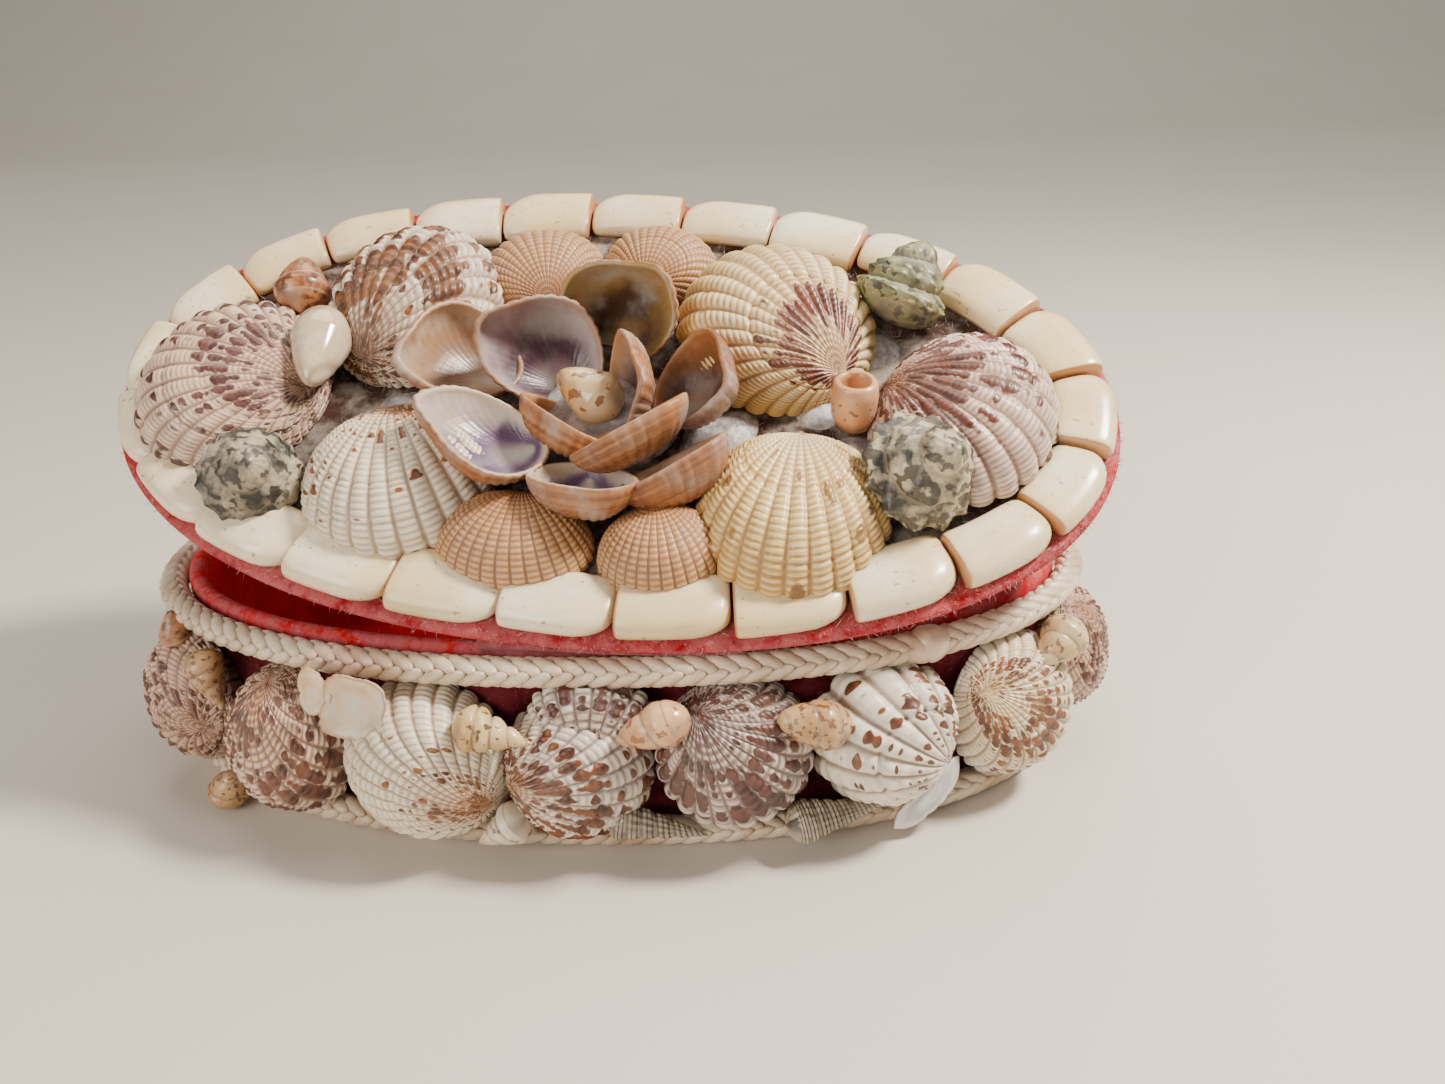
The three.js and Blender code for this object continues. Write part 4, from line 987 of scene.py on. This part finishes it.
def slabShape(index, rng):
    # one slab: its first face is cut square, its other end is rounded off
    point, _, out, total = slabWalk
    span = total / slab["count"]
    depth = slab["depth"] * rng.uniform(0.86, 1.04)
    tall = slab["thickness"] * rng.uniform(0.88, 1.05)
    lean = rng.uniform(-0.08, 0.08)
    rounding = rng.uniform(0.2, 0.4)
    seam = slab["seam"] / span / 2
    rings = []
    for share, fullness in slabRings:
        at = (index + seam + share * (1 - 2 * seam)) * slabSteps / slab["count"]
        low = int(math.floor(at))
        mix = at - low
        p = point[low % slabSteps] * (1 - mix) + point[(low + 1) % slabSteps] * mix
        bend = max(0.0, (share - 0.6) / 0.4)
        corner = rounding * (1 - math.sqrt(1 - bend * bend))
        inwards = slabSection[:, 0] * (1 - corner) + corner
        wide = depth * (0.5 + (inwards - 0.5) * fullness) + lean * depth * (share - 0.5)
        rise = slabSection[:, 1] * tall * (0.35 + 0.65 * fullness) * (1 - 0.28 * bend ** 2)
        rings.append(np.column_stack([p - out[low % slabSteps] * wide[:, None], lid["thickness"] + 0.05 + rise]))
    rings = np.array(rings)
    sides = len(slabSection)
    maps = evenMaps(np.linspace(0, 1, sides + 1), slabRings[:, 0] * span / 10 + index * 3)[:, :, ::-1]
    cut = np.where(slabRings[:, 0] < 0.03, 1.0, 0.0)
    cutMask = np.concatenate([[1.0], np.repeat(cut, sides), [0.0]])
    return outwards(skin(rings, maps, rings[0].mean(axis=0), rings[-1].mean(axis=0))), cutMask


ivory = slabMaterial()
slabArcs = ["edge_slabs_right", "edge_slabs_far", "edge_slabs_left", "edge_slabs_near"]
slabsPerArc = slab["count"] // len(slabArcs)
slabRandom = np.random.RandomState(11)
for arc, name in enumerate(slabArcs):
    made = [slabShape(arc * slabsPerArc + k, slabRandom) for k in range(slabsPerArc)]
    meshPiece(name, placedAt(joined([shape for shape, _ in made]), lidAxes), ivory, "lid", [name],
              {"cut": np.concatenate([mask for _, mask in made])})
print("shell box: edge slabs")


# Velvet carcass

velvet = {"lint": "#d9b9b4", "sheenTint": "#d84a50", "sheen": 0.2, "sheenRough": 0.4, "rough": 0.95, "wear": 0.85}
# bed and bedLight colour the painted shadow between the shells: dark reds on the box's outer wall, dark brown with grey
# glue on the lid's top
boxVelvet = {"deep": "#b00008", "bright": "#dc0408", "worn": "#c0686c", "bed": "#470b13", "bedLight": "#6d2830"}
lidVelvet = {"deep": "#860a16", "bright": "#a8141e", "worn": "#bd6468", "bed": "#43302a", "bedLight": "#a39a90"}


def velvetMaterial(name, look):
    # worn and linty where the edge mask is high; painted shadow between the shells where the bed mask is, mixed with
    # grey glue on the lid
    made, tree, shader = material(name)
    point = objectPoint(tree)
    edge = attribute(tree, "edge")
    colour = layer(tree, noise(tree, point, 55.0, 4.0, 0.65), 0.3, 0.7, look["deep"], look["bright"])
    rubbed = times(tree, edge, ranged(tree, noise(tree, point, 260.0, 4.0, 0.7), 0.3, 0.62))
    colour = blendColour(tree, times(tree, rubbed, velvet["wear"]), colour, look["worn"])
    shadowAndGlue = layer(tree, noise(tree, point, 120.0, 4.0, 0.65), 0.4, 0.66, look["bed"], look["bedLight"])
    colour = blendColour(tree, attribute(tree, "bed"), colour, shadowAndGlue)
    flecks = ranged(tree, noise(tree, point, 1300.0, 3.0, 0.7), 0.6, 0.72, 0, 0.35)
    colour = blendColour(tree, times(tree, flecks, calc(tree, "ADD", edge, 0.12)), colour, velvet["lint"])
    pile = noise(tree, point, 2600.0, 2.0, 0.7)
    finished(tree, shader, colour, velvet["rough"], (pile, 0.6, 0.0004), sheen=velvet["sheen"],
             sheenRough=velvet["sheenRough"], sheenTint=tint(velvet["sheenTint"]), specular=0.15)
    return made


bodySteps = 260


def ovalBody(size, profile, centreFirst, centreLast):
    # rings that follow an oval; a profile row is the distance in from the outline, the height, the edge and bed masks;
    # the bed mask places the painted shadow between the shells
    point, _, out, total = ovalWalk(size["halfLength"], size["halfDepth"], size["roundness"], bodySteps)
    rings = np.array([np.column_stack([point - out * inset, np.full(bodySteps, z)]) for inset, z, _, _ in profile])
    steps = [math.dist(row[:2], following[:2]) for row, following in zip(profile, profile[1:])]
    walked = np.concatenate([[0], np.cumsum(steps)])
    maps = evenMaps(np.linspace(0, total, bodySteps + 1) / 10, walked / 10)
    masks = {}
    for column, key in ((2, "edge"), (3, "bed")):
        values = [row[column] for row in profile]
        masks[key] = np.concatenate([[values[0]], np.repeat(values, bodySteps), [values[-1]]])
    return skin(rings, maps, np.array([0, 0, centreFirst]), np.array([0, 0, centreLast])), masks


t, h = wall["thickness"], wall["height"]
# the bed mask is high on the outer wall, where the painted shadow between the shells goes
boxProfile = [  # from the middle of the inner floor up, over the rim and down to the middle of the underside
    (t + 14, 2, 0, 0), (t + 3, 2, 0, 0), (t + 1, 2.15, 0.1, 0), (t + 0.2, 3, 0, 0), (t, 5, 0, 0), (t, 12, 0, 0),
    (t, 20, 0, 0), (t, 28, 0, 0), (t, 33, 0.15, 0), (t, 35, 0.6, 0), (t - 0.3, h - 0.5, 1, 0),
    (t - 0.9, h - 0.05, 1, 0), (t - 1.6, h, 1, 0), (0.9, h - 0.05, 1, 0), (0.3, h - 0.5, 1, 0), (0, 35.2, 0.9, 0.1),
    (0, 32, 0.4, 1), (0, 18, 0.2, 1), (0, 6, 0.4, 1), (0, 0.8, 0.5, 0.8), (0.3, 0.2, 0.3, 0), (1, 0, 0.1, 0),
    (12, 0, 0, 0)]
boxShape, masks = ovalBody(wall, boxProfile, wall["floor"], 0)
meshPiece("base_box", boxShape, velvetMaterial("redVelvetBox", boxVelvet), "box", ["base_box"], masks)

b = lid["thickness"]
# the bed mask is high on the board's top and fades under the slabs, where the painted shadow and the glue between the
# shells go
lidProfile = [  # from the middle of the board's top over its edge to the middle of its underside
    (40, b, 0, 1), (16, b, 0, 1), (12, b, 0, 1), (8, b, 0.4, 0.7), (2.5, b, 0.7, 0.1), (0.8, b - 0.02, 1, 0),
    (0.25, b - 0.25, 1, 0), (0, b - 0.7, 1, 0), (0, 0.7, 1, 0), (0.25, 0.25, 1, 0), (0.8, 0.02, 0.8, 0),
    (3, 0, 0.3, 0), (8, 0, 0, 0), (22, 0, 0, 0)]
lidShape, masks = ovalBody(lid, lidProfile, b, 0)
meshPiece("lid_board", placedAt(lidShape, lidAxes), velvetMaterial("redVelvetLid", lidVelvet), "lid",
          ["lid_board"], masks)
print("shell box: velvet box and lid board")


# Cloth hinge: one strip from the wall's top edge to the board's edge

hinge = {"width": 43, "centre": 4.5, "thickness": 0.5, "columns": 60, "foot": 31.4, "rise": 5.0, "standOff": 0.35,
         "sag": 0.25, "below": 0.25, "inset": 0.2, "underBoard": 2.2, "colour": "#8a2430", "worn": "#a9525a",
         "thread": "#c98d8c", "threads": 110.0}


def hingeCloth():
    made, tree, shader = material("hingeCloth")
    warp, weft = (calc(tree, "SINE", times(tree, way, hinge["threads"])) for way in surfaceMap(tree))
    threads = times(tree, warp, weft)
    colour = layer(tree, noise(tree, objectPoint(tree), 300.0, 4.0, 0.7), 0.35, 0.65, hinge["colour"], hinge["worn"])
    colour = layer(tree, threads, 0.2, 0.9, colour, hinge["thread"], 0.3)
    finished(tree, shader, colour, 0.9, (threads, 0.4, 0.0002), sheen=0.2)
    return made


def nearSide(size, x):
    # the oval's outline on the hinge side
    n = size["roundness"]
    return -size["halfDepth"] * (1 - (np.abs(x) / size["halfLength"]) ** n) ** (1 / n)


def boardEdge(x):
    # the near edge of the board's underside at those places across the box; a few rounds allow for the lid's skew
    u = x.copy()
    for _ in range(6):
        world = moved(np.column_stack([u, nearSide(lid, u), np.zeros_like(u)]), lidAxes)
        u = u + (x - world[:, 0])
    return world


xs = hinge["centre"] + np.linspace(-0.5, 0.5, hinge["columns"]) * hinge["width"]
inward, upFromBoard = lidAxes[:3, 1], lidAxes[:3, 2]
boardRow = boardEdge(xs) - upFromBoard * hinge["below"] + inward * hinge["inset"]
path = []
for share in np.linspace(0, 1, 9):  # up the wall
    level = np.full_like(xs, hinge["foot"] + share * hinge["rise"])
    path.append(np.column_stack([xs, nearSide(wall, xs) - hinge["standOff"], level]))
wallRow = path[-1]
for share in np.linspace(0, 1, 7)[1:]:  # across the gap
    sag = np.array([0, -math.sin(math.pi * share) * hinge["sag"], 0])
    path.append(wallRow * (1 - share) + boardRow * share + sag)
for share in np.linspace(0, 1, 4)[1:]:  # under the board
    path.append(boardRow + inward * hinge["underBoard"] * share)
path = np.array(path)
faceOut = np.cross(np.gradient(path, axis=1), np.gradient(path, axis=0))
faceOut *= hinge["thickness"] / 2 / np.linalg.norm(faceOut, axis=2)[:, :, None]
grid = np.concatenate([path + faceOut, (path - faceOut)[:, ::-1]], axis=1)
there = np.linspace(0, hinge["width"] / 10, hinge["columns"])
maps = evenMaps(np.concatenate([there, there[::-1], [0]]), np.linspace(0, 1.4, len(path)))
shape = outwards(skin(grid, maps, grid[0].mean(axis=0), grid[-1].mean(axis=0)))
cloth = meshPiece("hinge_cloth", shape, hingeCloth(), None, ["hinge_cloth_base", "hinge_cloth_lid"])
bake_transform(cloth)
print("shell box: cloth hinge")


# Braided cords

cordLook = {"thread": "#e8d7bc", "shade": "#b99b7c", "gap": "#85664a", "stain": "#c48a86", "sheen": 0.15,
            "specular": 0.8}


def cordMaterial():
    made, tree, shader = material("braidedCord")
    point = objectPoint(tree)
    fibre = node(tree, "ShaderNodeSeparateXYZ", {0: attribute(tree, "fibre", "Vector")}).outputs
    drawn = combined(tree, times(tree, fibre[0], 0.8), times(tree, fibre[1], 9.0), times(tree, fibre[2], 9.0))
    lines = noise(tree, drawn, 1.0, 2.0)
    cloud = noise(tree, point, 70.0, 4.0, 0.6)
    colour = layer(tree, cloud, 0.35, 0.68, cordLook["thread"], cordLook["shade"])
    colour = layer(tree, lines, 0.48, 0.7, colour, cordLook["gap"], 0.45)
    colour = layer(tree, noise(tree, point, 38.0, 2.0), 0.62, 0.75, colour, cordLook["stain"], 0.35)
    finished(tree, shader, colour, ranged(tree, cloud, 0.35, 0.7, 0.2, 0.38), (lines, 0.5, 0.0002),
             sheen=cordLook["sheen"], specular=cordLook["specular"])
    return made


# Lengths in millimetres; slant and facing, the turn of the rows round the cord, in degrees
braid = {"Pitch": 3.5, "Strand Length": 6.6, "Strand Width": 2.5, "Strand Height": 1.9, "Ring": 1.55, "Core": 1.6}
braidTurns = {"slant": 29.0, "facing": 22.0, "rows": 4}


def braidTree(finish):
    # strands lie in rows round a curve and slant by turns, so that they meet in chevrons
    sizes = [(key, "Float", None) for key in (*braid, "Slant")]
    tree, given, out = nodeGroup("braid", "GeometryNodeTree", [("Path", "Geometry", None)] + sizes,
                                 [("Cord", "Geometry")])
    ball = node(tree, "GeometryNodeMeshUVSphere", {"Segments": 8, "Rings": 6, "Radius": 1.0})
    local = node(tree, "GeometryNodeInputPosition").outputs[0]
    marked = node(tree, "GeometryNodeStoreNamedAttribute", {
        "Geometry": ball.outputs["Mesh"], "Name": "fibre", "Value": local}, data_type="FLOAT_VECTOR", domain="POINT")
    halves = [times(tree, given["Strand " + way], 0.5) for way in ("Length", "Width", "Height")]
    strand = node(tree, "GeometryNodeTransform", {"Geometry": marked.outputs[0], "Scale": combined(tree, *halves)})
    smooth = node(tree, "GeometryNodeSetShadeSmooth", {"Geometry": strand.outputs[0]})
    points = node(tree, "GeometryNodeCurveToPoints", {"Curve": given["Path"], "Length": given["Pitch"]}, mode="LENGTH")
    tangent = points.outputs["Tangent"]
    level = vectorCalc(tree, "CROSS_PRODUCT", tangent, (0, 0, 1))
    join = node(tree, "GeometryNodeJoinGeometry")
    for row in range(braidTurns["rows"]):
        angle = math.radians(braidTurns["facing"] + 45 + 90 * row)
        odd = row % 2
        radial = vectorCalc(tree, "ADD", vectorCalc(tree, "SCALE", level, math.cos(angle)), (0, 0, math.sin(angle)))
        onward = vectorCalc(tree, "SCALE", tangent, times(tree, given["Pitch"], 0.5 * odd))
        offset = vectorCalc(tree, "ADD", vectorCalc(tree, "SCALE", radial, given["Ring"]), onward)
        shifted = node(tree, "GeometryNodeSetPosition", {"Geometry": points.outputs["Points"], "Offset": offset})
        facing = node(tree, "FunctionNodeAlignRotationToVector", {"Vector": radial}, axis="Z")
        along = node(tree, "FunctionNodeAlignRotationToVector", {"Rotation": facing.outputs[0], "Vector": tangent},
                     axis="X", pivot_axis="Z")
        slanted = calc(tree, "RADIANS", times(tree, given["Slant"], 1.0 if odd else -1.0))
        lean = node(tree, "FunctionNodeAxisAngleToRotation", {"Axis": (0, 0, 1), "Angle": slanted})
        spun = node(tree, "FunctionNodeRotateRotation", {"Rotation": along.outputs[0], "Rotate By": lean.outputs[0]},
                    rotation_space="LOCAL")
        placed = node(tree, "GeometryNodeInstanceOnPoints", {
            "Points": shifted.outputs[0], "Instance": smooth.outputs[0], "Rotation": spun.outputs[0]})
        tree.links.new(placed.outputs[0], join.inputs[0])
    circle = node(tree, "GeometryNodeCurvePrimitiveCircle", {"Resolution": 10, "Radius": given["Core"]})
    tube = node(tree, "GeometryNodeCurveToMesh", {"Curve": given["Path"], "Profile Curve": circle.outputs["Curve"]})
    tree.links.new(tube.outputs[0], join.inputs[0])
    real = node(tree, "GeometryNodeRealizeInstances", {"Geometry": join.outputs[0]})
    done = node(tree, "GeometryNodeSetMaterial", {"Geometry": real.outputs[0], "Material": finish})
    tree.links.new(done.outputs[0], out[0])
    return tree


def grown(source, tree, name, values):
    # what the node tree makes of the source, as a plain mesh object; the source goes
    modifier = source.modifiers.new(tree.name, "NODES")
    modifier.node_group = tree
    sockets = {item.name: item.identifier for item in tree.interface.items_tree if item.in_out == "INPUT"}
    for key, value in values.items():
        modifier[sockets[key]] = value
    evaluated = source.evaluated_get(bpy.context.evaluated_depsgraph_get())
    mesh = bpy.data.meshes.new_from_object(evaluated)
    source.modifiers.clear()
    bpy.data.objects.remove(source)
    mesh.polygons.foreach_set("use_smooth", [True] * len(mesh.polygons))
    return linked(name, mesh)


def cordPath(name, height):
    point, _, out, _ = ovalWalk(wall["halfLength"], wall["halfDepth"], wall["roundness"], 360)
    line = point + out * (cord["gap"] + cord["radius"])
    curve = bpy.data.curves.new(name, "CURVE")
    curve.dimensions = "3D"
    curve.twist_mode = "Z_UP"
    spline = curve.splines.new("POLY")
    spline.points.add(len(line) - 1)
    metres = np.column_stack([line, np.full(len(line), height)]) * millimetre
    spline.points.foreach_set("co", np.column_stack([metres, np.ones(len(line))]).ravel())
    spline.use_cyclic_u = True
    return linked(name, curve)


nylon = cordMaterial()
braidNodes = braidTree(nylon)
braidValues = {**{key: size * millimetre for key, size in braid.items()}, "Slant": braidTurns["slant"]}
for name, height in (("top_cord", cord["topHeight"]), ("bottom_cord", cord["radius"])):
    piece = grown(cordPath(name + "_path", height), braidNodes, name, braidValues)
    claim(piece, "box", [name])

# The lump where the upper cord's ends meet
shape = spiralShape(length=10, radius=3.3, whorls=2.2, bulge=0.12, blunt=0.5, base=0.45)
place = wallPlace(cord["joinAt"], cord["topHeight"] - wallMiddle, 188, cord["gap"] + cord["radius"] + 0.4)
meshPiece("cord_join", placedAt(shape, place), nylon, "box")
print("shell box: cords")


# Lint: short bristles along the velvet edges and dust fibres among the shells

lint = {  # lengths and widths in mm, hairs a square mm
    "lid_edge_lint": {"length": 1.25, "width": 0.13, "density": 1.5, "tilt": 0.7,
                      "colour": "#c4767e", "tip": "#e0b4b4"},
    "lid_dust_lint": {"length": 2.3, "width": 0.1, "density": 0.34, "tilt": 1.3,
                      "colour": "#a9a09a", "tip": "#dad6d4"},
    "box_rim_lint": {"length": 0.85, "width": 0.12, "density": 1.3, "tilt": 0.9,
                     "colour": "#bd4a52", "tip": "#d99a98"},
}

# How much lint grows on each row of a body's profile
lidEdgeRows = (0, 0, 0, 0, 0.5, 1, 1, 1, 0.7, 0, 0, 0, 0, 0)
lidDustRows = (1, 1, 1, 1, 0.5, 0, 0, 0, 0, 0, 0, 0, 0, 0)
boxRimRows = (0, 0, 0, 0, 0, 0, 0, 0, 0, 0.3, 0.8, 0.7, 0.3, 0.7, 0.5, 0.2, 0, 0, 0, 0, 0, 0, 0)


def lintMaterial(name, colour, tip):
    made, tree, shader = material(name)
    cloud = noise(tree, objectPoint(tree), 700.0, 2.0)
    finished(tree, shader, layer(tree, cloud, 0.35, 0.65, colour, tip), 0.9, (cloud, 0.1, 0.0001))
    return made


def lintTree():
    # thin cones stand on a surface, as many as its lint mask says, and lean to all sides
    kinds = {"Surface": "Geometry", "Density": "Float", "Length": "Float", "Width": "Float", "Tilt": "Float",
             "Seed": "Int", "Finish": "Material"}
    tree, given, out = nodeGroup("lint", "GeometryNodeTree", [(key, kind, None) for key, kind in kinds.items()],
                                 [("Lint", "Geometry")])
    mask = node(tree, "GeometryNodeInputNamedAttribute", {"Name": "lint"}, data_type="FLOAT").outputs["Attribute"]
    scattered = node(tree, "GeometryNodeDistributePointsOnFaces", {
        "Mesh": given["Surface"], "Density": times(tree, mask, given["Density"]), "Seed": given["Seed"]})
    hair = node(tree, "GeometryNodeMeshCone", {
        "Vertices": 3, "Radius Top": 0.0, "Radius Bottom": given["Width"], "Depth": given["Length"]}).outputs["Mesh"]
    tilt = given["Tilt"]
    otherWay = times(tree, tilt, -1.0)
    leaning = node(tree, "FunctionNodeRandomValue", {
        0: combined(tree, otherWay, otherWay, -3.14), 1: combined(tree, tilt, tilt, 3.14), "Seed": given["Seed"]},
        data_type="FLOAT_VECTOR")
    turn = node(tree, "FunctionNodeEulerToRotation", {0: leaning.outputs[0]})
    spun = node(tree, "FunctionNodeRotateRotation", {
        "Rotation": scattered.outputs["Rotation"], "Rotate By": turn.outputs[0]}, rotation_space="LOCAL")
    size = node(tree, "FunctionNodeRandomValue", {2: 0.45, 3: 1.25, "Seed": given["Seed"]}, data_type="FLOAT")
    placed = node(tree, "GeometryNodeInstanceOnPoints", {
        "Points": scattered.outputs["Points"], "Instance": hair, "Rotation": spun.outputs[0], "Scale": size.outputs[1]})
    real = node(tree, "GeometryNodeRealizeInstances", {"Geometry": placed.outputs[0]})
    done = node(tree, "GeometryNodeSetMaterial", {"Geometry": real.outputs[0], "Material": given["Finish"]})
    tree.links.new(done.outputs[0], out[0])
    return tree


def lintOn(name, shape, rows, body, place, seed):
    # grows lint on a throwaway copy of a velvet body; more of it towards the right end
    points, faces, _ = shape
    share = np.concatenate([[rows[0]], np.repeat(rows, bodySteps), [rows[-1]]])
    share = share * np.clip(0.6 + points[:, 0] / 130, 0.15, 1)
    carrier = bpy.data.meshes.new(name + "_carrier")
    carrier.from_pydata((moved(points, place) * millimetre).tolist(), [], faces)
    carrier.attributes.new("lint", "FLOAT", "POINT").data.foreach_set("value", share.astype(np.float32))
    look = lint[name]
    piece = grown(linked(name + "_carrier", carrier), lintNodes, name, {
        "Density": look["density"] * 1e6, "Length": look["length"] * millimetre,
        "Width": look["width"] / 2 * millimetre, "Tilt": look["tilt"], "Seed": seed,
        "Finish": lintMaterial(name + "Finish", look["colour"], look["tip"])})
    claim(piece, body)


lintNodes = lintTree()
lintOn("lid_edge_lint", lidShape, lidEdgeRows, "lid", lidAxes, 3)
lintOn("lid_dust_lint", lidShape, lidDustRows, "lid", lidAxes, 5)
lintOn("box_rim_lint", boxShape, boxRimRows, "box", np.eye(4), 7)
print("shell box: lint")


# Camera, floor and lights

# The camera of the photo: turns in degrees, place in millimetres, focal length and width of the picture in pixels
camera = {"yaw": -3.19, "pitch": 23.66, "roll": -1.68, "place": (31.6, -200.2, 121.8), "focal": 1085, "across": 1445,
          "sensor": 36}


def photoCamera():
    yaw, pitch, roll = (math.radians(camera[key]) for key in ("yaw", "pitch", "roll"))
    forward = np.array([math.sin(yaw) * math.cos(pitch), math.cos(yaw) * math.cos(pitch), -math.sin(pitch)])
    right = np.array([math.cos(yaw), -math.sin(yaw), 0])
    above = np.cross(right, forward)
    sideways = math.cos(roll) * right + math.sin(roll) * above
    upwards = -math.sin(roll) * right + math.cos(roll) * above
    data = bpy.data.cameras.new("photoCamera")
    data.sensor_fit = "HORIZONTAL"
    data.sensor_width = camera["sensor"]
    data.lens = camera["focal"] / camera["across"] * camera["sensor"]
    data.clip_start = 0.01
    holder = linked("photoCamera", data)
    place = basis(sideways, upwards, -forward, np.array(camera["place"]) * millimetre)
    holder.matrix_world = Matrix(place.tolist())
    bpy.context.scene.camera = holder


lights = {  # place, target and size in metres, power in watts, colour
    "keyLight": ((0.42, 0.0, 0.54), (0, 0, 0.04), 0.13, 9.8, (1.0, 0.91, 0.79)),
    "fillLight": ((-0.55, -0.75, 0.42), (0, 0, 0.04), 0.6, 6.6, (1.0, 0.9, 0.79)),
    "roomLight": ((0, 1.2, 2.6), (0, 0.4, 0), 2.5, 46.0, (1.0, 0.96, 0.9)),
}
surroundings = {"colour": (0.9, 0.87, 0.82, 1), "strength": 0.36}


def areaLight(name, place, target, size, power, colour):
    data = bpy.data.lights.new(name, "AREA")
    data.shape = "DISK"
    data.size = size
    data.energy = power
    data.color = colour
    place = np.array(place, float)
    out = unit(place - np.array(target, float))
    side = unit(np.cross(up, out))
    linked(name, data).matrix_world = Matrix(basis(side, np.cross(out, side), out, place).tolist())


# Floor in metres: half its width, the places of its front and back, the bend's radius and the backdrop's height
floorSize = {"reach": 7.0, "front": -7.0, "rear": 3.0, "bend": 1.2, "height": 5.0}
floorLook = {"colour": "#cbc3b8", "light": "#d2cbc1", "rough": 0.6}


def floorSweep():
    # a floor that curves up into a backdrop far behind
    reach, rear, bend = floorSize["reach"], floorSize["rear"], floorSize["bend"]
    profile = [(floorSize["front"], 0.0), (rear - bend, 0.0)]
    for angle in np.linspace(0, math.pi / 2, 17)[1:]:
        profile.append((rear - bend + bend * math.sin(angle), bend - bend * math.cos(angle)))
    profile.append((rear, floorSize["height"]))
    points = [(x, y, z) for y, z in profile for x in (-reach, reach)]
    faces = [(2 * i, 2 * i + 1, 2 * i + 3, 2 * i + 2) for i in range(len(profile) - 1)]
    mesh = bpy.data.meshes.new("floor")
    mesh.from_pydata(points, [], faces)
    mesh.polygons.foreach_set("use_smooth", [True] * len(faces))
    made, tree, shader = material("paleFloor")
    cloud = noise(tree, objectPoint(tree), 6.0, 3.0)
    feed(tree, shader, {"Base Color": blendColour(tree, cloud, floorLook["colour"], floorLook["light"]),
                        "Roughness": floorLook["rough"]})
    mesh.materials.append(made)
    floor = linked("floor", mesh)


photoCamera()
floorSweep()
for name, row in lights.items():
    areaLight(name, *row)
world = bpy.data.worlds.new("softWorld")
world.use_nodes = True
feed(world.node_tree, world.node_tree.nodes["Background"], {
    "Color": surroundings["colour"], "Strength": surroundings["strength"]})
bpy.context.scene.world = world
print("shell box: camera and lights")
